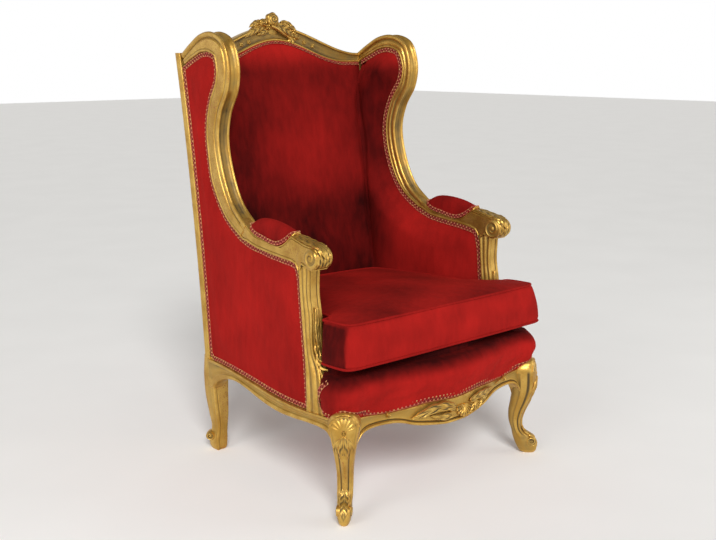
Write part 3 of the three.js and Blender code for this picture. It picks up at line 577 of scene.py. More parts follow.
def acanthus(line, front, half, lobes=4, thick=5.0, sink=2.0, waist=0.35):
    """A carved leaf along a line of places with its face along front: lobed edge, mid rib and veins."""
    line = spaced(through(line, 60), 15 * lobes + 1)
    rows = len(line)
    u = np.linspace(0, 1, rows)
    ahead = unit(np.gradient(line, axis=0))
    front = np.asarray(front, float)
    if front.ndim == 2:
        front = np.stack([np.interp(u, np.linspace(0, 1, len(front)), front[:, k]) for k in range(3)], 1)
    front = unit(front - (front * ahead).sum(-1, keepdims=True) * ahead)
    across = np.cross(front, ahead)
    lobe = (u * lobes) % 1
    widths = waist + (1 - waist) * np.sin(np.pi * np.clip(u, 0, 1) ** 0.75) ** 0.7
    closing = np.clip((1 - u) / 0.25, 0, 1) ** 0.5
    widths = np.maximum(half * widths * (0.82 + 0.18 * np.sin(np.pi * lobe**0.7)) * closing, half * 0.04)
    v = np.linspace(-1, 1, 21)[None]
    arch = (np.sin(np.pi * u) ** 0.6)[:, None]
    veins = np.cos(2 * np.pi * (u[:, None] * lobes - 1.1 * np.abs(v) - 0.2))
    rise = thick * (0.25 + 0.75 * arch) * (
        0.62 * np.sqrt(np.clip(1 - v**2, 0, 1)) + 0.1 * veins * (1 - np.abs(v) ** 4))
    rise += thick * 0.3 * np.exp(-((v / 0.1) ** 2)) * (1 - u[:, None])
    rise += thick * 0.35 * np.exp(-(((np.abs(v) - 0.82) / 0.14) ** 2)) * arch
    top = line[:, None] + across[:, None] * (v * widths[:, None])[..., None]
    top = top + front[:, None] * rise[..., None]
    back_v = np.array([0.8, 0, -0.8])[None]
    back = line[:, None] + across[:, None] * (back_v * widths[:, None])[..., None] - front[:, None] * sink
    return skin(np.concatenate([top, back], 1))


def fan_shell(centre, up, front, radius, spread, flutes=7, thick=8.0, rim=0.45, scallop=0.05, depth=0.22,
              bend=0.0):
    """A fluted fan shell with its point at centre, opening towards up; bend curls its sides back."""
    front = unit(np.asarray(front, float))
    up = np.asarray(up, float)
    up = unit(up - up @ front * front)
    side = np.cross(up, front)
    angle = np.linspace(-spread / 2, spread / 2, flutes * 10 + 1)[:, None]
    flute = np.cos(angle / spread * 2 * np.pi * flutes)
    share = np.linspace(0.12, 1, 16)[None]
    reach = radius * share * (1 - scallop * (1 + flute) * share)
    dish = np.sin(np.pi * np.clip(share, 0, 1) ** 1.2 * 0.86) ** 0.8
    rise = thick * dish * (0.85 - depth * flute * ease(share, 0.1, 0.6)) * np.cos(angle / spread * 1.6)
    rise += thick * rim * np.exp(-(((share - 0.95) / 0.07) ** 2))
    back_share = np.array([0.9, 0.12])[None]
    back_reach = radius * back_share * np.ones_like(angle)

    def placed(reach, rise):
        rise = rise - bend * (reach * np.sin(angle)) ** 2
        return (
            np.asarray(centre, float) + up * (reach * np.cos(angle))[..., None]
            + side * (reach * np.sin(angle))[..., None] + front * rise[..., None]
        )
    back = placed(back_reach, -0.4 * thick * np.ones_like(back_reach))
    return skin(np.concatenate([placed(reach, rise), back], 1))


def dome(centre, front, radius, profile, columns=48, rings=14):
    """A round carving: profile gives height and reach from share of the radius and angle."""
    front = unit(np.asarray(front, float))
    up = np.array([0.0, 0.0, 1.0])
    up = unit(up - up @ front * front)
    side = np.cross(up, front)
    angle = np.linspace(0, 2 * np.pi, columns, endpoint=False)[None]
    share = np.linspace(1, 0, rings)[:, None]
    rise, reach = profile(share, angle)
    rise = rise * np.ones_like(share * angle)
    reach = radius * share * reach
    places = (
        np.asarray(centre, float) + side * (reach * np.cos(angle))[..., None]
        + up * (reach * np.sin(angle))[..., None] + front * rise[..., None]
    )
    foot = places[:1] - front * (rise[0].max() + 0.35 * radius)
    return skin(np.concatenate([foot, places]))


def rose(centre, front, radius, height, petals=5, turns=2.6):
    """An open rose: petals wound round a bud, with a lobed edge."""
    def profile(share, angle):
        wave = np.abs(np.cos(petals * angle / 2 + 3 * share))
        fold = 0.5 + 0.5 * np.cos(2 * np.pi * (turns * share - angle / (2 * np.pi)) + 0.9 * wave)
        edge = np.sin(np.pi * np.clip(share * 0.9 + 0.1, 0, 1))
        rise = height * ((1 - share**2) ** 0.55 * 0.78 + 0.22 * fold * edge)
        return rise, 1 - 0.16 * (1 - wave) * share**2
    return dome(centre, front, radius, profile)


def flower(centre, front, radius, height, petals=5):
    """A small flower: round petals and a raised eye."""
    def profile(share, angle):
        petal = np.abs(np.cos(petals * angle / 2))
        rise = height * (0.75 * np.sin(np.pi * np.clip(share, 0, 1) ** 0.8 * 0.9) * (0.45 + 0.55 * petal))
        rise = rise + height * 0.75 * np.exp(-((share / 0.2) ** 2))
        return rise, 0.62 + 0.38 * petal ** 0.6
    return dome(centre, front, radius, profile, columns=40, rings=11)


def volute(centre, front, radius, height, turns=1.7, hand=1):
    """A spiral scroll end: a raised band winding in to a round eye."""
    def profile(share, angle):
        phase = turns * share + hand * angle / (2 * np.pi)
        band = 0.5 + 0.5 * np.cos(2 * np.pi * phase)
        rise = height * (0.35 + 0.65 * band**1.5) * ease(1.02 - share, 0, 0.12)
        eye = 1.25 * height * np.sqrt(np.clip(1 - (share / 0.26) ** 2, 0, 1))
        return rise * ease(share, 0.16, 0.3) + eye, 1.0
    return dome(centre, front, radius, profile, columns=64, rings=22)


# ---- frame: wings ---------------------------------------------------------------------------------

# Moulding of a wing's outer half as [across, depth, cut]: a bead beside the upholstery, counted back from
# the border, then a flat band, a quirk, and two beads at the front with a hollow between them.
WING_BORDER = [[16.2, 0, 0.6], [18.7, 1, 1.8], [18.6, 5, 1.8], [16.6, 6.8, 1], [17.8, 8.2, 1]]
WING_FRONT = [
    [17.9, 18.5, 1.5], [13.8, 16, 1.5], [13.8, 14, 1], [18.7, 11, 3], [18.4, 1.2, 5], [13.2, -0.4, 3.5],
    [10.6, 5, 1.5], [5.5, 8.6, 3], [0, 9.4, 3],
]


def wing_frame():
    count = 170
    outer, inward, depth_inside = wing_edges(count, INSIDE)
    depth_outside = wing_edges(count, OUTSIDE)[2]
    rings = []
    for i in range(count):
        halves = []
        for depth, sign in ((depth_inside[i], -1), (depth_outside[i], 1)):
            fit = min(1.0, (depth - 7.5) / 19)
            half = [[sign * a, depth - b, cut] for a, b, cut in WING_BORDER]
            halves.append(half + [[sign * a, b * fit, cut] for a, b, cut in WING_FRONT])
        inner, outside = halves
        section = rounded(
            inner + outside[-2::-1] + [[3, depth_outside[i], 0.5], [3, depth_inside[i], 0.5]], 4)
        line = outer[i] + inward[i] * section[:, 1:]
        rings.append(np.column_stack([side_x(line[:, 0], line[:, 1]) + section[:, 0], line]))
    return [skin(rings)]


# ---- frame: arms and arm posts -----------------------------------------------------------------------

def arm_section(half, tall, drops):
    """Section of an arm, up from its underside: a bead below, a quirk, a field and a bead on top.
    Its two cheeks reach down past the underside by their drops, to the borders of the upholstery."""
    foot = [
        [half - 1.5, 0, 1], [half + 0.6, 1.2, 1.8], [half + 0.5, 5, 1.8], [half - 2.2, 6.8, 0.8],
        [half - 0.8, 8.6, 1],
    ]
    head = [
        [half - 0.7, max(tall - 6.5, 9.4), 0.8], [half - 2.8, max(tall - 5, 10), 0.6],
        [half, tall - 2.8, 1.2], [half - 1, tall, 2],
    ]
    inner, outer = ([[a, b - drop, cut] for a, b, cut in foot] + head for drop in drops)
    under = [[3, -drops[1], 0.5], [3, 0, 0.5], [-9, 0, 0.5], [-9, -drops[0], 0.5]]
    return rounded([[-a, b, cut] for a, b, cut in inner] + outer[::-1] + under, 4)


def arm_rail():
    y = np.concatenate([np.linspace(76, -112, 60), np.linspace(-115, -214, 50)])
    top, under, half = table(ARM, y).T
    middle = side_x(y, top)
    drop_inside = np.interp(y, [-176, -157, -153, -144, -130], [0.01, 22, 10, 2, 0.01]) * ease(y, -176, -172)
    drop_outside = np.interp(
        y, [-172, -160, -154, -146, -130, -98, -70, 20, 48, 76], [0.01, 30, 18, 11, 10, 13, 14, 14, 19, 28])
    rings = []
    for i in range(len(y)):
        section = arm_section(half[i], top[i] - under[i], (drop_inside[i] + 0.01, drop_outside[i] + 0.01))
        rings.append(xyz(middle[i] + section[:, 0], y[i], under[i] + section[:, 1]))
    return skin(rings)


def arm_roll():
    """The rolled end of an arm: a drum whose front is fluted like a leaf turned over."""
    y, z = SCROLL_AT
    middle = side_x(y, z)
    angle = np.linspace(0, 2 * np.pi, 110, endpoint=False)[None]
    across = np.linspace(-1, 1, 33)[:, None]
    turn = ease(np.sin(angle - 0.3), -0.6, 0.2) + ease(-np.cos(angle), 0.0, 0.8)
    flutes = np.cos(2 * np.pi * (across * 2.6 + 0.12 * np.sin(2 * angle)))
    crossing = np.cos(9 * angle + 2.5 * np.abs(across) * np.pi)
    reach = SCROLL_RADIUS - 1.2 + 0.9 * flutes * np.clip(turn, 0, 1) + 0.9 * crossing * np.clip(turn, 0, 1)
    reach = reach - 4.5 * np.abs(across) ** 6
    rim = xyz(middle + across * SCROLL_HALF, y + reach * np.cos(angle), z + reach * np.sin(angle))
    ends = [
        volute([middle + s * (SCROLL_HALF - 1), y, z], (s, 0, 0), SCROLL_RADIUS - 3, 3.6, hand=s)
        for s in (1, -1)
    ]
    return [skin(rim), *ends]


def arm():
    middle = side_x(-170, 625)
    over = [
        [middle, -126, 633], [middle, -142, 632], [middle, -165, 627], [middle, -190, 622],
        [middle, -212, 619], [middle, -230, 609], [middle, -236, 594],
    ]
    faces = [(0, 0.5, 1), (0, 0, 1), (0, 0, 1), (0, -0.1, 1), (0, -0.5, 1), (0, -1, 0.5), (0, -1, -0.1)]
    leaf = acanthus(over, faces, 19, lobes=5, thick=6.5, waist=0.75)
    lip = tube(
        [[middle - 16, -129, 629], [middle - 8, -131, 637], [middle, -132, 640], [middle + 8, -131, 637],
         [middle + 16, -129, 629]], [2.5, 3.5, 4, 3.5, 2.5], sides=12)
    return [arm_rail(), *arm_roll(), leaf, lip]


def arm_post():
    z = np.linspace(226, 570, 92)
    front = table(ARM_POST_FRONT, z)[:, 0]
    rear = np.interp(z, *np.array(ARM_POST_REAR).T)
    middle = side_x(-190, z) + 3 * np.clip(1 - (z - 246) / 100, 0, 1)
    narrow = 16.5 - 4 * bump(z, 338, 26)
    rings = []
    for i in range(len(z)):
        n = narrow[i]
        side = [
            [17, 0, 0.5], [19, 0.03, 1.5], [18.8, 0.17, 1.8], [14.8, 0.25, 1], [14.6, 0.33, 1],
            [18.4, 0.42, 2.5], [17.6, 0.58, 2.5], [n - 3, 0.68, 1.2], [n - 3, 0.76, 1], [n + 1.6, 0.85, 2],
            [n + 0.6, 0.99, 2.5], [n - 5, 1.0, 2], [n - 7, 0.88, 1], [n - 9, 0.94, 1],
        ]
        section = rounded([[-a, b, cut] for a, b, cut in side] + side[::-1], 4)
        # the section's depth is a share, so its cuts across it shrink with the post
        rings.append(xyz(middle[i] + section[:, 0], rear[i] + (front[i] - rear[i]) * section[:, 1], z[i]))
    x = side_x(-190, 360)
    drop = acanthus(
        [[x, -203, 478], [x, -205, 440], [x, -205, 410], [x, -208, 384]], (0, -1, 0.1), 9, lobes=3, thick=4.5)
    curls = [
        acanthus([[x, y, z] for y, z in way], face, half, lobes=2, thick=thick)
        for way, face, half, thick in (
            ([(-203, 396), (-208, 376), (-215, 360), (-227, 352)], (0, -1, 0.5), 13, 6),
            ([(-209, 368), (-217, 352), (-230, 341), (-246, 339)], (0, -0.8, 0.6), 15, 7),
            ([(-219, 346), (-225, 330), (-233, 318), (-245, 315)], (0, -0.8, 0.6), 13, 6),
        )
    ]
    return [skin(rings), drop, *curls]


# ---- frame: legs -------------------------------------------------------------------------------------

CABRIOLE = [
    [0, -8, 28, 20], [6, -14, 31, 26], [14, -19, 33, 31], [24, -24, 33, 34], [34, -28, 28, 35],
    [46, -32, 14, 34], [60, -35, -3, 34], [86, -43, -10, 35], [114, -45, -3, 37], [142, -41, 10, 42],
    [170, -38, 20, 50], [200, -40, 24, 62], [222, -44, 24, 71], [236, -46, 22, 74], [246, -40, 21, 66],
    [255, -22, 18, 52], [261, -10, 14, 34], [264, -3, 10, 15],
]
OUTWARD = np.array([math.sqrt(0.5), -math.sqrt(0.5), 0])
SIDEWAYS = np.array([math.sqrt(0.5), math.sqrt(0.5), 0])


def leg_place(along, across, z):
    """Places on a front leg, out along its diagonal, across it and up."""
    base = np.array([FRONT_LEG[0], FRONT_LEG[1], 0])
    along, across, z = np.broadcast_arrays(along, across, z)
    place = base + OUTWARD * along[..., None] + SIDEWAYS * across[..., None]
    return place + np.array([0, 0, 1]) * z[..., None]


def front_leg():
    z = np.concatenate([np.linspace(0, 6, 4), np.linspace(8, 264, 120)])[:, None]
    inner, outer, width = table(CABRIOLE, z[:, 0]).T[:, :, None]
    foot = 1 - 0.12 * np.clip(1 - z / 6, 0, 1) ** 2
    angle = np.linspace(0, 2 * np.pi, 84, endpoint=False)[None]
    c, s = np.cos(angle), np.sin(angle)
    off = np.abs((angle + np.pi) % (2 * np.pi) - np.pi)
    ridge = 3.2 * bump(off, 0, 0.2) * ease(z, 42, 60) * ease(z, 175, 140)
    grooves = -2.2 * bump(off, 0.46, 0.17) * ease(z, 48, 66) * ease(z, 205, 170)
    beads = 1.9 * bump(off, 1.02, 0.13) * ease(z, 40, 60) * ease(z, 246, 225)
    quirk = -1.7 * bump(off, 1.34, 0.12) * ease(z, 46, 66) * ease(z, 240, 215)
    rear_bead = 1.5 * bump(off, 1.66, 0.13) * ease(z, 40, 60) * ease(z, 236, 205)
    extra = ridge + grooves + beads + quirk + rear_bead
    along = (inner + outer) / 2 + ((outer - inner) / 2 * foot + extra) * np.sign(c) * np.abs(c) ** 0.78
    across = (width / 2 * foot + extra) * np.sign(s) * np.abs(s) ** 0.78
    parts = [
        skin(leg_place(along, across, z)),
        fan_shell(
            leg_place(25, 0, 221), [0, 0, 1] - 0.3 * OUTWARD, OUTWARD + [0, 0, 0.3], 39, spread=2.4,
            thick=6, rim=0.4, scallop=0.01, depth=0.1, bend=0.0105),
        volute(leg_place(23, 0, 219), OUTWARD, 6.5, 3.5),
        acanthus(leg_place([25, 24, 17, 6], 0, [212, 194, 170, 142]), OUTWARD, 14, lobes=3, thick=7),
    ]
    for sign in (1, -1):
        beside = leg_place([24, 22, 16, 9], sign * np.array([4, 15, 17, 14]), [206, 194, 178, 160])
        parts.append(acanthus(beside, OUTWARD + 0.5 * sign * SIDEWAYS, 8, lobes=2, thick=4.5))
        scroll = leg_place(17, 14.5 * sign, 33)
        parts.append(volute(scroll, SIDEWAYS * sign + 0.1 * OUTWARD, 13, 3.6, hand=sign))
    over_toe = leg_place([-9, -3, 9, 22, 30, 33], 0, [74, 60, 50, 41, 29, 14])
    faces = [(a, -a, b) for a, b in ((0.7, 0.3), (0.5, 0.7), (0.3, 0.9), (0.6, 0.6), (0.7, 0.2), (0.7, -0.1))]
    parts.append(acanthus(over_toe, faces, 13, lobes=5, thick=5.5))
    return parts


REAR_LEG = [
    [0, -24, 15], [8, -27, 19], [18, -28, 21], [34, -29, 20], [48, -29, 16], [62, -30, 14], [100, -33, 20],
    [150, -34, 28], [200, -35, 31], [262, -36, 28],
]


def back_leg():
    z = np.concatenate([np.linspace(0, 6, 4), np.linspace(8, 262, 90)])
    inner, outer = table(REAR_LEG, z).T * math.sqrt(0.5)
    rings = []
    for i in range(len(z)):
        foot = 1.5 * max(0, 1 - z[i] / 6) ** 2
        x0, x1 = BACK_LEG[0] + inner[i] + foot, BACK_LEG[0] + outer[i] - foot
        y0, y1 = BACK_LEG[1] + inner[i] - 2 + foot, BACK_LEG[1] + outer[i] - foot
        section = rounded([
            [x0, y0, 3], [x1 - 11, y0 + 0.5, 1.5], [x1 - 9.5, y0 + 2.6, 0.8], [x1 - 7, y0 - 1, 2],
            [x1 + 0.6, y0 - 0.6, 4.5], [x1 + 1, y0 + 6, 2], [x1 - 1.6, y0 + 8.5, 0.8], [x1, y0 + 11, 1.5],
            [x1 + 0.6, (y0 + y1) / 2, 6], [x1, y1, 5], [x0, y1, 4],
        ], 5)
        rings.append(xyz(*section.T, z[i]))
    leg = skin(rings)
    z = np.linspace(250, POST_TOP, 60)
    rings = []
    for i in range(len(z)):
        rear = post_rear(z[i])
        middle = side_x(rear, z[i])
        a, b = middle - WOOD / 2, middle + WOOD / 2
        show = rear - POST_SHOWING
        section = rounded([
            [a, rear - POST_DEPTH, 1], [middle + 1, rear - POST_DEPTH, 1], [middle + 1, show - 0.2, 0.3],
            [b - 1.5, show, 0.8], [b + 0.4, show + 1.5, 1.5], [b + 0.2, show + 5, 1.5],
            [b - 2, show + 6.5, 0.6], [b - 0.8, show + 8.5, 1], [b, rear - 5, 3], [b - 5, rear, 2.5],
            [a + 5, rear, 2.5], [a, rear - 5, 2.5],
        ], 4)
        rings.append(xyz(*section.T, z[i]))
    post = skin(rings)
    toe = np.array([BACK_LEG[0] + 11, BACK_LEG[1] + 11, 38])
    drum = tube([toe + out * OUTWARD for out in (14, 12, 0, -12, -14)], [10, 11.5, 12, 11.5, 10], sides=28)
    rolls = [volute(toe + 13 * s * OUTWARD, s * OUTWARD, 11, 4.5, hand=s) for s in (1, -1)]
    return [leg, post, drum, *rolls]


# ---- frame: rails --------------------------------------------------------------------------------------

def front_rail():
    x = np.linspace(-296, 296, 300)[:, None]
    bottom, top = front_rail_bottom(x), front_rail_top(x)
    tall = top - bottom
    low_rows = np.linspace(0, 11, 16)[None] * np.ones_like(x)
    up = np.concatenate([low_rows, 11 + (tall - 11) * np.linspace(0, 1, 25)[None, 1:]], 1)
    share = (up - 11) / (tall - 11)
    bead = 4.6 * np.sqrt(np.clip(1 - ((up - 3.6) / 3.9) ** 2, 0, 1))
    quirk = -2.2 * bump(up, 9, 1.6)
    cove = np.where(up > 10, -2.5 * np.sin(np.pi * np.clip(share, 0, 1)) + 1.5 * np.clip(share, 0, 1), 0)
    middle = bump(x, 20, 95)
    belly = 5 * middle * np.sin(np.pi * np.clip(up / tall, 0, 1))
    out = bead + quirk + cove + belly - 1.5
    face = xyz(x, front_rail_y(x) - out, bottom + up)
    rest = [
        np.stack([x[:, 0], front_rail_y(x[:, 0]) + back, (top if high_side else bottom)[:, 0]], 1)
        for back, high_side in ((5, True), (34, True), (34, False), (8, False))
    ]
    body = skin(np.concatenate([face, np.stack(rest, 1)], 1))

    def at(x, z, out=0.0):
        return [x, front_rail_y(x) - 3 - out, z]
    face_out = (0, -1, 0.05)

    def leaf(places, half, lobes, thick, **shape):
        return acanthus([at(*place) for place in places], face_out, half, lobes=lobes, thick=thick, **shape)
    return [
        body,
        fan_shell(at(22, 216), (-0.1, 0, -1), face_out, 33, spread=2.9, flutes=9, thick=9),
        fan_shell(at(66, 212), (0.55, 0, -1), face_out, 24, spread=1.9, flutes=5, thick=7),
        leaf([(-2, 206, 2), (-34, 222, 3), (-76, 224, 3), (-112, 214, 1), (-134, 208)], 13, 4, 8, waist=0.5),
        leaf([(0, 203, 1), (-26, 198, 2), (-58, 199, 2), (-84, 206)], 10, 3, 6),
        leaf([(46, 216, 2), (76, 222, 3), (112, 222, 2), (150, 224, 0)], 10, 4, 6),
        leaf([(70, 204, 2), (92, 206, 2), (116, 212, 1), (138, 219, 0)], 7, 3, 5),
        volute(at(210, 230), face_out, 7, 3.5),
        leaf([(206, 230), (188, 228), (168, 226)], 5, 3, 4),
        volute(at(-196, 230), face_out, 7, 3.5, hand=-1),
    ]


def side_rail():
    y = np.linspace(-304, 248, 170)
    bottom, top = side_rail_bottom(y), side_rail_top(y)
    x = side_rail_x(y)
    rings = []
    for i in range(len(y)):
        tall = top[i] - bottom[i]
        cut = 0.25 + 0.75 * ease(y[i], -296, -250) * ease(y[i], 225, 165)
        section = rounded([
            [-30, 0, 1], [-3, 0, 2], [2.4, 0.06 * tall, 3], [2.4, 0.34 * tall, 3],
            [2.4 - 4 * cut, 0.42 * tall, 1], [2.4 - 4.6 * cut, 0.5 * tall, 1.5],
            [2.4 - 3.4 * cut, 0.62 * tall, 3], [2.4 - 3.4 * cut, tall - 8, 1],
            [2.2, tall - 6, 2.2], [1.6, tall - 0.2, 2.2], [-30, tall - 0.5, 1],
        ], 5)
        rings.append(xyz(x[i] + section[:, 0], y[i], bottom[i] + section[:, 1]))
    return [skin(rings)]


def back_rail():
    x = np.linspace(-264, 264, 60)
    bottom = 214 - 10 * np.cos(np.pi * x / 524)
    rings = []
    for i in range(len(x)):
        section = rounded([
            [236, bottom[i], 2], [262, bottom[i], 3], [267, bottom[i] + 5, 4], [265, bottom[i] + 12, 2],
            [263, bottom[i] + 14, 1], [265, bottom[i] + 17, 2], [265, RAIL_TOP_REAR, 2],
            [236, RAIL_TOP_REAR, 2],
        ], 4)
        rings.append(xyz(x[i], *section.T))
    return [skin(rings)]


def crest_rail():
    x = np.linspace(-CREST_END, CREST_END, 200)
    bottom, top, near, far = crest_bottom(x), crest_top(x), crest_front(x), crest_rear(x)
    rings = []
    for i in range(len(x)):
        tall, deep = top[i] - bottom[i], far[i] - near[i]
        section = rounded([
            [deep, 0, 2], [4, 0, 1.5], [-0.6, 1.2, 2], [-0.4, 5.5, 2], [3.4, 7.6, 1.2], [4.2, 0.5 * tall, 5],
            [2.6, tall - 8.5, 1.2], [-1.4, tall - 6.5, 2.5], [-0.4, tall - 0.6, 3], [6, tall, 3],
            [deep - 4, tall - 1.5, 3], [deep, tall - 5, 3],
        ], 5)
        rings.append(xyz(x[i], near[i] + section[:, 0], bottom[i] + section[:, 1]))
    return [skin(rings), *bouquet()]


def bouquet():
    """Rose, buds and ribbon carved over the middle of the crest, trailing to both sides."""
    face = np.array([0, -1, 0.2])

    def at(x, z, out=0.0):
        return np.array([x, crest_front(x) + 2 - out, z])

    def sprig(points, half, lobes=3, thick=5.5):
        return acanthus([at(*p) for p in points], face, half, lobes=lobes, thick=thick, sink=6)
    def rounding(share, angle):
        return 15 * (1 - share**2), 1 - 0.25 * np.sin(angle) ** 2
    ribbon_at = [at(-24, 1112, 12), at(-6, 1106, 13), at(16, 1094, 9), at(38, 1084, 4), at(54, 1076, 2)]
    buds = ((-118, 1066), (-92, 1073), (96, 1074), (124, 1064))
    return [
        dome(at(-8, 1106, -13), (0, -1, 0.1), 38, rounding),
        rose(at(-12, 1130, 3), face, 20, 10),
        rose(at(-46, 1120, 2), face, 12, 12),
        rose(at(38, 1112, 1), face, 12, 11),
        flower(at(-66, 1112, 1), face, 9, 8),
        flower(at(-30, 1109, 6), face, 9, 8),
        flower(at(60, 1098, 1), face, 9, 7),
        sprig([(-40, 1112, 2), (-64, 1104, 2), (-86, 1094, 0), (-104, 1082, 0)], 11, 4),
        sprig([(-52, 1124, 2), (-72, 1118, 2), (-88, 1108, 0)], 8),
        sprig([(-28, 1104, 4), (-44, 1096, 2), (-64, 1088, 0)], 8),
        sprig([(-8, 1114, 8), (10, 1110, 8), (30, 1100, 6), (48, 1092, 2), (60, 1080, 0)], 12, 4, 7),
        sprig([(14, 1122, 5), (32, 1120, 4), (52, 1110, 2), (70, 1100, 0)], 9),
        sprig([(44, 1092, 3), (62, 1088, 2), (80, 1078, 0)], 8),
        flower(at(52, 1079, 1), face, 15, 6),
        tube(through(ribbon_at, 40), np.linspace(4.5, 3, 40), sides=12),
        *(flower(at(x, z - 4, -1), face, 6, 5) for x, z in buds),
    ]


# ---- upholstery -----------------------------------------------------------------------------------

OUTER_FACE = 13               # outside panels, out from the middle of the wood
BORDER = 13                   # inside pads at their borders, in from the middle of the wood
PANEL_THICK = 8


def noise(a, b, period, seed):
    """Smooth unevenness of hand stuffing, about -1 to 1, over two lengths in millimetres."""
    draw = np.random.default_rng(seed)
    total = 0
    for k in range(7):
        turn, phase = draw.uniform(0, 2 * np.pi, 2)
        size = 2 * np.pi / (period * draw.uniform(0.7, 1.5))
        total = total + np.sin(size * (a * np.cos(turn) + b * np.sin(turn)) + phase)
    return total / 3.2


def span_at(outline, z):
    """Least and greatest y of a closed [y, z] outline at each height."""
    y0, z0 = outline.T
    y1, z1 = np.roll(outline, -1, 0).T
    spans = []
    for height in z:
        hit = (z0 - height) * (z1 - height) <= 0
        step = np.where(np.abs(z1 - z0) < 1e-9, 1, z1 - z0)
        at = (y0 + (y1 - y0) * np.clip((height - z0) / step, 0, 1))[hit]
        spans.append((at.min(), at.max()))
    return np.array(spans)


def inside_x(y, z, border):
    """Face of an inside side pad: it deepens from its border to the corner of the back."""
    forward = np.clip((y + 165) / (corner_y(z) + 165), 0, 1)
    deep = side_x(y, z) - BORDER - corner_x(z)
    away = ease(distance_to(border, y, z), 0, 75)
    return side_x(y, z) - BORDER - deep * forward * away - 4 * away * (1 - forward)


def net(start, end, z, columns):
    """Measures y and z of a net of places: a row at each height z, evenly from start to end."""
    y = start[:, None] + (end - start)[:, None] * np.linspace(0, 1, columns)[None]
    return y, z[:, None] * np.ones_like(y)


def inside_side_pad():
    outline = inset(side_opening(INSIDE), -1.5)
    border = front_part(side_opening(INSIDE))
    z = np.concatenate([np.arange(358, 552, 8), np.arange(554, 606, 1.6), np.arange(608, 1046, 6.5)])
    span = span_at(outline, z)
    rear = np.minimum(corner_y(z) + 10, post_rear(z) - POST_DEPTH - 1)
    y, zz = net(span[:, 0], rear, z, 56)
    face = inside_x(y, zz, border)
    away = distance_to(border, y, zz)
    crown = 7 * ease(away, 6, 40) + 2.2 * noise(y, zz, 110, 4) * ease(away, 10, 60)
    crease = 8 * bump(y - corner_y(zz), 0, 9) * ease(zz, 430, 480)
    face = face - crown * (1 - 0.75 * ease(y, corner_y(zz) - 40, corner_y(zz))) + crease
    wall_y = y[:, ::-1][:, ::11]
    wall = xyz(side_x(wall_y, z[:, None]) - 3, wall_y, z[:, None])
    return [skin(np.concatenate([xyz(face, y, zz), wall], 1))]


def side_panel():
    outline = inset(side_opening(OUTSIDE), 0.5)
    z = np.concatenate([np.arange(236, 536, 8), np.arange(538, 608, 1.6), np.arange(610, 1040, 6.5)])
    low_z, high_z = outline[:, 1].min() + 0.4, outline[:, 1].max() - 0.4
    z = np.concatenate([[low_z], z[(z > low_z + 2) & (z < high_z - 2)], [high_z]])
    span = span_at(outline, z)
    y, zz = net(*span.T, z, 60)
    away = distance_to(np.concatenate([outline, outline[:1]]), y, zz)
    out = OUTER_FACE - 3 + 3 * ease(away, 0, 8) + 4 * ease(away, 14, 60)
    out = out + 1.2 * noise(y, zz, 120, 9) * ease(away, 14, 50)
    back_y = y[:, ::-1][:, ::12]
    back = xyz(side_x(back_y, z[:, None]) + OUTER_FACE - PANEL_THICK, back_y, z[:, None])
    return [skin(np.concatenate([xyz(side_x(y, zz) + out, y, zz), back], 1))]


def back_half(z):
    """Half width of the inside back, which runs on behind the wings at the top."""
    return corner_x(z) + 1.5 + 26 * ease(z, 890, 985)


def inside_back_pad():
    rings = []
    for s in np.linspace(-1, 1, 91):
        x_top = s * back_half(1010)
        top = crest_bottom(x_top) + 2
        z = np.concatenate([
            np.linspace(358, 460, 10), np.linspace(468, top - 20, 60), np.linspace(top - 17, top, 9)])
        x = s * back_half(z)
        y = back_front(x, z)
        below = top - z
        crown = 9 * ease(below, 12, 90) + 2.6 * noise(x, z, 130, 2) * ease(below, 20, 80)
        crown = crown - 10 * ease(np.abs(s), 0.9, 1.0) ** 2
        y = np.minimum(y, crest_front(x) + 2 + 4 * ease(below, 15, 0)) - crown * ease(z, 420, 520)
        rear = np.array([
            [s * corner_x(top), crest_front(x_top) + 16, top], [s * corner_x(760), post_rear(760) - 17, 760],
            [s * corner_x(358), post_rear(358) - 16, 358],
        ])
        rings.append(np.concatenate([xyz(x, y, z), rear]))
    return [skin(rings)]


def outside_back_panel():
    rings = []
    for s in np.linspace(-1, 1, 81):
        half = side_x(post_rear(700), 700) - WOOD / 2 - 0.3
        top = crest_bottom(s * half) - 1
        z = np.concatenate([[263], np.linspace(270, top - 8, 70), [top]])
        x = s * (side_x(post_rear(z), z) - WOOD / 2 - 0.3)
        away = np.minimum(np.minimum(z - 263, top - z), half * (1 - abs(s)))
        out = -4 + back_bulge(x, z) - 3 * (1 - ease(away, 0, 8)) + 5 * ease(away, 16, 80)
        out = out + 1.2 * noise(x, z, 140, 6) * ease(away, 16, 60)
        front = xyz(x, post_rear(z) - 12 + back_bulge(x, z), z)[::-6]
        rings.append(np.concatenate([xyz(x, post_rear(z) + out, z), front]))
    return [skin(rings)]


def platform_half(bulge):
    front = [[x, front_rail_y(x) + 4 - bulge] for x in (0, 35, 70, 105, 140, 175, 205, 235, 262)]
    corner = [[296 + 0.6 * bulge, -318 - bulge], [316 + bulge, -307 - 0.6 * bulge], [334 + 0.8 * bulge, -286],
              [331 + 0.6 * bulge, -254], [318, -240]]
    return np.array(front + corner + [[296, -236], [268, -234], [266, -120], [264, 0], [254, 200]])


PLATFORM_BULGE = [
    [242, -1], [250, 3], [258, 8], [268, 12.5], [282, 17.5], [296, 20], [308, 18.5], [318, 13],
    [328, 3], [337, -10], [344, -22], [351, -40],
]


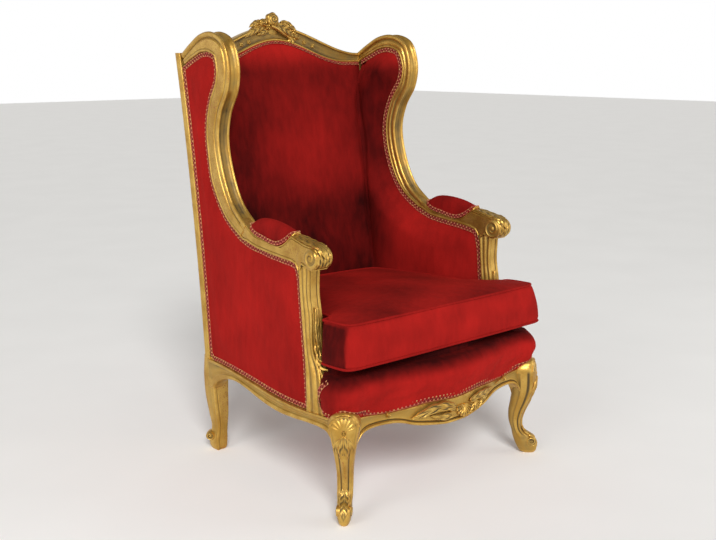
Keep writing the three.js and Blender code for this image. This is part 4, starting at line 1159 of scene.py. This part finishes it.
def seat_platform():
    z = np.concatenate([np.linspace(242, 344, 40), np.linspace(346, 351, 3)])
    bulge = table(PLATFORM_BULGE, z)[:, 0]
    rings = []
    for height, out in zip(z, bulge):
        half = platform_half(max(out, -8)) * (0.94 if out < -8 else 1)
        other = half[:0:-1] * [-1, 1]
        loop = through(np.concatenate([half, other]), 300, closed=True)
        x, y = loop.T
        lift = (front_rail_top(x) - SEAT_RAIL_TOP) * ease(height, 262, 247) * (y < -290)
        fall = 7 * np.clip((y + 100) / 280, 0, 1) * (height > 340)
        dent = 1.3 * noise(x, y * 0 + height * 2, 60, 5) * ease(height, 250, 275) * ease(height, 345, 320)
        ring = np.stack([x, y, height + lift - fall], 1)
        ring[:, 1] -= dent * (y < -250)
        rings.append(ring)
    return [skin(rings)]


PAD_TOP = [[-133, 636], [-124, 643], [-108, 647], [-71, 654], [-34, 657], [0, 655], [26, 648], [40, 641]]


def arm_top(y):
    return table(ARM, y)[:, 0]


def arm_pad():
    rings = []
    for t in np.linspace(0, 1, 70):
        y = -132 + 172 * t
        low_z = arm_top(y)[0] + 0.5
        round_end = max(0.0, 1 - abs(2 * t - 1) ** 7) ** 0.5
        high_z = low_z + 5 + (table(PAD_TOP, y)[0, 0] - low_z - 2) * round_end
        half = 18.5 * (0.55 + 0.45 * round_end)
        angle = np.linspace(0, np.pi, 25)
        across = -np.cos(angle) * (1 - 0.06 * np.cos(angle) ** 8)
        up = np.abs(np.sin(angle)) ** 0.72
        middle = side_x(y, low_z)
        rings.append(np.stack([middle + across * half, np.full(25, y), low_z + (high_z - low_z) * up], 1))
    return [skin(rings)]


CUSHION_CORNERS = [
    [0, -336], [130, -336], [262, -334], [322, -331], [338, -322], [341, -300], [340, -258], [334, -240],
    [318, -231], [282, -222], [268, -180], [264, -110], [252, 20], [234, 130], [220, 178], [150, 197],
]


def cushion_outline(count):
    half = np.array(CUSHION_CORNERS, float)
    loop = np.concatenate([half, [[0, 206]], half[:0:-1] * [-1, 1]])
    return through(loop, count + 1, closed=True)[:-1]


def cushion_top(y):
    return 459 - 18 * np.clip((y + 320) / 520, 0, 1)


def cushion_ring(outline, up, size):
    """The cushion's outline at a share of its height; its front leans back as it rises."""
    x, y = outline.T
    front = ease(y, -200, -260)
    lean = 15 * up * front
    x = x * size * (1 - 0.055 * up * front) + 13 * front
    return np.stack([x, y * size + lean - 60 * (1 - size), cushion_top(y) - CUSHION_THICK * (1 - up)], 1)


SEAMS = ((0.04, 0.988), (0.965, 0.988))


def seat_cushion():
    outline = cushion_outline(260)
    levels = [
        (0.01, 0.04), (0.01, 0.5), (0.01, 0.965), SEAMS[0], (0.15, 0.996), (0.35, 1.001), (0.5, 1.003),
        (0.65, 1.001), (0.85, 0.996), SEAMS[1], (0.985, 0.96), (1.01, 0.88), (1.05, 0.7), (1.07, 0.4),
        (1.07, 0.04),
    ]
    made = skin([cushion_ring(outline, up, size) for up, size in levels])
    start = bpy.data.meshes.new("cushion_cover")
    made.to_mesh(start)
    made.free()
    seams = np.concatenate([cushion_ring(outline, up, size) for up, size in SEAMS])
    return stuffed(start, seams, pressure=4, cap=(11, 3))


def seat_piping():
    outline = cushion_outline(420)
    return [tube(cushion_ring(outline, up, size - 0.006), 3.0, closed=True, sides=12) for up, size in SEAMS]


def stuffed(start, seams, pressure, cap, voxel=7.6):
    """Blows a cover up against its sewn seams, then keeps how far it moved within cap (up, down)."""
    cover = bpy.data.objects.new("cover", start)
    bpy.context.scene.collection.objects.link(cover)
    remesh = cover.modifiers.new("remesh", "REMESH")
    remesh.mode = "VOXEL"
    remesh.voxel_size = voxel * MM
    shape = bpy.data.meshes.new_from_object(cover.evaluated_get(bpy.context.evaluated_depsgraph_get()))
    cover.modifiers.clear()
    cover.data = shape
    at = np.array([v.co for v in shape.vertices]) / MM
    near = np.array([np.abs(seams - p).max(1).min() < 5.5 for p in at])
    sewn = cover.vertex_groups.new(name="sewn")
    sewn.add(np.flatnonzero(near).tolist(), 1.0, "REPLACE")
    cloth = cover.modifiers.new("cloth", "CLOTH")
    cloth.settings.vertex_group_mass = "sewn"
    cloth.settings.use_pressure = True
    cloth.settings.uniform_pressure_force = pressure
    cloth.settings.effector_weights.gravity = 0
    cloth.settings.quality = 6
    for moment in range(1, 21):
        bpy.context.scene.frame_set(moment)
    blown = cover.evaluated_get(bpy.context.evaluated_depsgraph_get()).to_mesh()
    end = np.array([v.co for v in blown.vertices]) / MM
    cover.modifiers.clear()
    bpy.context.scene.frame_set(1)
    move = end - at
    most = np.where(move[:, 2:] > 0, cap[0], cap[1])
    far = np.linalg.norm(move, axis=1, keepdims=True)
    at = at + move / np.maximum(far, 1e-6) * most * np.tanh(far / most)
    made = bmesh.new()
    made.from_mesh(shape)
    for vert, place in zip(made.verts, (at * MM).tolist()):
        vert.co = place
    bpy.data.objects.remove(cover)
    return [made]


# ---- braid --------------------------------------------------------------------------------------

GIMP_PERIOD = 11


def gimp(near, far, out, closed=False):
    """Gimp braid between two border lines: knots along both, joined by a zigzag cord on a dark ground."""
    near, far = np.asarray(near, float), np.asarray(far, float)
    out = np.broadcast_to(np.asarray(out, float), near.shape)
    if closed:
        near, far, out = (np.concatenate([line, line[:1]]) for line in (near, far, out))
    middle = (near + far) / 2
    run = np.concatenate([[0], np.cumsum(np.linalg.norm(np.diff(middle, axis=0), axis=1))])
    periods = max(2, round(run[-1] / GIMP_PERIOD))
    count = periods * 8 + 1
    at = np.linspace(0, run[-1], count)

    def even(line):
        return np.stack([np.interp(at, run, line[:, k]) for k in range(3)], 1)
    near, far, out = even(near), even(far), unit(even(out))
    if closed:
        near, far, out, at = near[:-1], far[:-1], out[:-1], at[:-1]
    turn = (at / run[-1] * periods)[:, None]
    v = np.linspace(-1, 1, 11)[None]

    def knot(border, shift):
        along = ((turn + shift + 0.5) % 1 - 0.5) / 0.24
        return np.sqrt(np.clip(1 - along**2 - ((v - border) / 0.4) ** 2, 0, 1))
    swing = 0.55 * np.cos(2 * np.pi * turn)
    zigzag = np.sqrt(np.clip(1 - ((v - swing) / 0.2) ** 2, 0, 1))
    rise = np.maximum(np.maximum(knot(0.6, 0), knot(-0.6, 0.5)) * 2.3, zigzag * 1.1)
    middle, half = (near + far) / 2, (far - near) / 2
    top = middle[:, None] + half[:, None] * v[..., None] + out[:, None] * (0.4 + rise)[..., None]
    under = np.stack([middle + half * 0.94 - out * 0.6, middle - half * 0.94 - out * 0.6], 1)
    return skin(np.concatenate([top, under], 1), along=closed)


def side_gimp():
    """Braid round the outside of a side."""
    lines = []
    for distance in (1, BRAID_WIDTH + 1):
        y, z = inset(side_opening(OUTSIDE), distance).T
        lines.append(np.stack([side_x(y, z) + OUTER_FACE + 0.6, y, z], 1))
    return [gimp(*lines, (1, 0, 0), closed=True)]


def inside_gimp():
    """Braid along wing, arm and arm post on the inside of a side."""
    whole = side_opening(INSIDE)
    border = front_part(whole)
    lines = []
    for distance in (0.5, BRAID_WIDTH):
        y, z = inset(whole, distance)[1:len(border)].T
        away = ease(np.full_like(y, distance), 6, 40) * 7
        lines.append(np.stack([inside_x(y, z, border) - 1.4 - away, y, z], 1))
    keep = lines[0][:, 2] > 380
    return [gimp(lines[0][keep], lines[1][keep], (-1, 0, 0))]


def inside_back_gimp():
    x = np.linspace(-262, 262, 120)
    top = crest_bottom(x) - 0.5
    below = top - 6
    near = np.stack([x, np.minimum(back_front(x, top), crest_front(x)) - 1.4, top], 1)
    far = np.stack([x, np.minimum(back_front(x, below), crest_front(x)) - 1.8, below], 1)
    return [gimp(near, far, (0, -1, 0))]


def outside_back_gimp():
    side_z = np.linspace(285, 1000, 40)
    side = np.stack([side_x(post_rear(side_z), side_z) - WOOD / 2, side_z], 1)
    x = np.linspace(255, -255, 60)
    top = np.stack([x, crest_bottom(x)], 1)
    foot = np.stack([np.linspace(-248, 248, 20), np.full(20, 263)], 1)
    outline = spaced(np.concatenate([side, top, side[::-1] * [-1, 1], foot, side[:1]]), 400)[:-1]
    lines = []
    for distance in (3, BRAID_WIDTH + 3):
        x, z = inset(outline, distance).T
        lines.append(np.stack([x, post_rear(z) - 1.5 + back_bulge(x, z), z], 1))
    return [gimp(*lines, (0, 1, 0), closed=True)]


def front_gimp():
    """Braid along the foot of the tight seat: over the rail and the knees, then up along the arm posts."""
    rise = through([
        [-300, 238], [-278, 240], [-262, 243], [-248, 249], [-242, 262], [-243, 279], [-250, 298],
        [-262, 320], [-274, 333],
    ], 80)[12:]
    ahead = unit(np.gradient(rise, axis=0))
    ways = []
    for bulge in (0, 10):
        half = platform_half(bulge)[:11]
        ways.append(through(np.concatenate([half[:0:-1] * [-1, 1], half]), 400))
    across = ((np.abs(ways[0][:, 0]) - FRONT_LEG[0]) + (ways[0][:, 1] - FRONT_LEG[1])) * math.sqrt(0.5)
    lines = []
    for edge, up in enumerate((1, 15)):
        height = front_rail_top(ways[0][:, 0]) + up + 14 * bump(across, 0, 30)
        swell = np.maximum(table(PLATFORM_BULGE, height)[:, 0], 0) + 1.2
        foot = np.column_stack([ways[0] + (ways[1] - ways[0]) * swell[:, None] / 10, height])
        y, z = (rise + edge * 13 * np.stack([-ahead[:, 1], ahead[:, 0]], 1)).T
        swell = table(PLATFORM_BULGE, z)[:, 0]
        x = 334 + 0.8 * swell - 3 * ease(y, -286, -254) - 14 * ease(y, -256, -240)
        x = x - 12 * ease(y, -296, -318) + 0.8
        side = np.column_stack([x, y, z])
        lines.append(np.concatenate([side[::-1] * [-1, 1, 1], foot, side]))
    out = lines[1] - lines[0]
    out[:, 2] = 3
    for part, sign in ((slice(0, len(rise)), -1), (slice(-len(rise), None), 1)):
        out[part] = (sign, 0, 0)
    return [gimp(*lines, out)]


def arm_pad_gimp():
    angle = np.linspace(0, 2 * np.pi, 120, endpoint=False)
    c, s = np.cos(angle), np.sin(angle)
    y = -46 + 87 * np.sign(c) * np.abs(c) ** 0.6
    across = 19.5 * np.sign(s) * np.abs(s) ** 0.6
    low_z = arm_top(y)
    foot = np.stack([side_x(y, low_z) + across, y, low_z + 2], 1)
    out = np.stack([s, c * 0.5, 0 * s], 1)
    return [gimp(foot, foot + [0, 0, 9.5], out, closed=True)]


# ---- the chair ----------------------------------------------------------------------------------

def side_nap(x, y, z, facing):
    return 0.71 + 0.05 * noise(y, z, 260, 21)


def inside_painted_shade_and_nap(x, y, z, facing):
    """Inside of a side: painted light towards the front along the arm and at the top of the wing, painted
    shade towards the back, with brushed nap patches.
    """
    forward = ease(y, 225, 60) * ease(z, 1010, 700)
    top = 0.45 * ease(z, 985, 1035)
    return 0.19 + 0.53 * forward + top + 0.06 * noise(y, z, 150, 22)


def back_painted_shade_and_nap(x, y, z, facing):
    """Inside back: painted light where it rolls to the crest and in a patch in the middle, painted shade low
    down and a painted shadow of the wing on the right, with brushed nap patches.
    """
    top = ease(z, 985, 1060)
    middle = 0.3 * bump(np.hypot((x - 60) / 1.1, (z - 800) / 1.3), 0, 110)
    low = 0.16 * ease(z, 700, 620)
    broad = 0.3 + 0.55 * top + middle - low - 0.12 * ease(x, -60, -200) * (1 - top)
    return broad + 0.04 * noise(x, z, 210, 23)


def cushion_painted_light_and_nap(x, y, z, facing):
    """Loose cushion: painted light on the front, painted shade on the ends, and a top swept both ways by
    brushed nap.
    """
    up = ease(facing[:, 2], 0.4, 0.8)
    front = (0.66 + 0.07 * noise(x, z * 2, 120, 27)) * ease(-facing[:, 1], 0.3, 0.7) + 0.1
    top = 0.5 + 0.17 * noise(x, y, 170, 24)
    return up * top + (1 - up) * front


def seat_painted_shade_and_nap(x, y, z, facing):
    """Tight seat front: painted light where it faces forward along the foot, painted shadow where it rolls in
    under the cushion, with brushed nap patches.
    """
    return (0.5 + 0.3 * ease(-facing[:, 1], 0.2, 0.9) + 0.08 * noise(x, z, 150, 25)) * ease(z, 340, 300)


def plain_nap(x, y, z, facing):
    return 0.5 + 0.1 * noise(x + y, z, 90, 26)


# Painted highlight: the piping is kept brighter than the cushion's top.
def piping_painted_highlight(x, y, z, facing):
    return 0.62 + 0 * x


def leg_shade_and_low_darkening(x, y, z, facing):
    """Painted shade: the sides of a front leg are darker than its outward face; it is also a little darker
    towards its foot.
    """
    return 0.12 * ease(0.7 * (facing[:, 0] * np.sign(x) - facing[:, 1]), 0.8, 0.2) + 0.06 * ease(z, 60, 30)


def crest_darkening(x, y, z, facing):
    # The crest's gilding is darker all over, and more so below 1110 mm.
    return 0.05 + 0.03 * ease(z, 1110, 1060)


for name, parts, added_darkening in (
    ("wing_frame", wing_frame(), None), ("arm", arm(), None), ("arm_post", arm_post(), None),
    ("front_leg", front_leg(), leg_shade_and_low_darkening), ("back_leg", back_leg(), None), ("side_rail", side_rail(), None),
):
    pair(f"gilt_{name}", parts, GILDING, name, added_darkening=added_darkening)
for name, parts, added_darkening in (
    ("front_rail", front_rail(), None), ("back_rail", back_rail(), None),
    ("crest_rail", crest_rail(), crest_darkening),
):
    piece(f"gilt_{name}", parts, GILDING, [name], added_darkening=added_darkening)

for name, parts, painted_light_and_nap, fill in (
    ("inside_side_pad", inside_side_pad(), inside_painted_shade_and_nap, 0.5), ("side_panel", side_panel(), side_nap, 0.3),
    ("arm_pad", arm_pad(), plain_nap, 0.9),
):
    for made in pair(f"velvet_{name}", parts, VELVET, name, painted_light_and_nap=painted_light_and_nap):
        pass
for name, parts, painted_light_and_nap, fill in (
    ("inside_back_pad", inside_back_pad(), back_painted_shade_and_nap, 0.6),
    ("outside_back_panel", outside_back_panel(), side_nap, 0.3),
    ("seat_platform", seat_platform(), seat_painted_shade_and_nap, 0.8),
):
    piece(f"velvet_{name}", parts, VELVET, [name], painted_light_and_nap=painted_light_and_nap)
cushion = piece(
    "velvet_seat_cushion", seat_cushion(), VELVET, ["seat_cushion"], angle=180, painted_light_and_nap=cushion_painted_light_and_nap)
rounding = cushion.modifiers.new("rounding", "SUBSURF")
rounding.levels = rounding.render_levels = 1
piece("velvet_piping", seat_piping(), VELVET, [], painted_light_and_nap=piping_painted_highlight)

for name, parts in (("side", side_gimp()), ("inside", inside_gimp()), ("arm_pad", arm_pad_gimp())):
    pair(f"braid_{name}", parts, GIMP, f"gimp_{name}")
for name, parts in (
    ("inside_back", inside_back_gimp()), ("outside_back", outside_back_gimp()), ("front", front_gimp()),
):
    piece(f"braid_{name}", parts, GIMP, [f"gimp_{name}"])


# ---- floor, light and camera ----------------------------------------------------------------------

LENS, SENSOR = 51.4, 36                # focal length and sensor width, millimetres
CAMERA_AT = (-1.724, -1.940, 1.036)    # metres
CAMERA_DOWN, CAMERA_TURN = 11.881, -41.613      # degrees


def studio():
    floor_mesh = bpy.data.meshes.new("floor")
    ground = bmesh.new()
    bmesh.ops.create_grid(ground, x_segments=1, y_segments=1, size=20)
    ground.to_mesh(floor_mesh)
    ground.free()
    floor = bpy.data.objects.new("floor", floor_mesh)
    bpy.context.scene.collection.objects.link(floor)
    paper, tree, shader, place = new_material("white_paper")
    fibre = add(tree, "ShaderNodeTexNoise", {"Scale": 3, "Detail": 2}, {"Vector": place})
    white = mixed(tree, fibre.outputs[0], linear("f4f3f1"), linear("faf9f7"))
    tree.links.new(white, shader.inputs["Base Color"])
    shader.inputs["Roughness"].default_value = 0.9
    floor_mesh.materials.append(paper)

    world = bpy.data.worlds.new("studio")
    world.use_nodes = True
    tree = world.node_tree
    sky = tree.nodes["Background"]
    facing = add(tree, "ShaderNodeTexCoord").outputs["Generated"]
    height = add(tree, "ShaderNodeSeparateXYZ", None, {0: facing}).outputs["Z"]
    walls = mixed(tree, remap(tree, height, 0.12, 0.7), linear("ffffff"), linear("6c6a66"))
    tree.links.new(walls, sky.inputs["Color"])
    sky.inputs["Strength"].default_value = 1.0
    bpy.context.scene.world = world
    bpy.context.scene.view_settings.view_transform = "Standard"

    aim = Vector((0, 0, 0.5))
    for name, kind, place, size, power in (
        ("key", "SUN", (-1.7, -2.6, 2.7), math.radians(22), 2.3),
        ("window", "AREA", (-2.8, -0.6, 1.5), 1.4, 22), ("fill", "AREA", (2.2, -2.2, 1.6), 1.8, 14),
    ):
        lamp = bpy.data.lights.new(name, kind)
        if kind == "SUN":
            lamp.angle = size
        else:
            lamp.size = size
        lamp.energy = power
        holder = bpy.data.objects.new(name, lamp)
        holder.location = place
        holder.rotation_euler = (aim - Vector(place)).to_track_quat("-Z", "Y").to_euler()
        bpy.context.scene.collection.objects.link(holder)

    lens = bpy.data.cameras.new("camera")
    lens.lens = LENS
    lens.sensor_width = SENSOR
    camera = bpy.data.objects.new("camera", lens)
    camera.location = CAMERA_AT
    camera.rotation_euler = (math.radians(90 - CAMERA_DOWN), 0, math.radians(CAMERA_TURN))
    bpy.context.scene.collection.objects.link(camera)
    bpy.context.scene.camera = camera


studio()
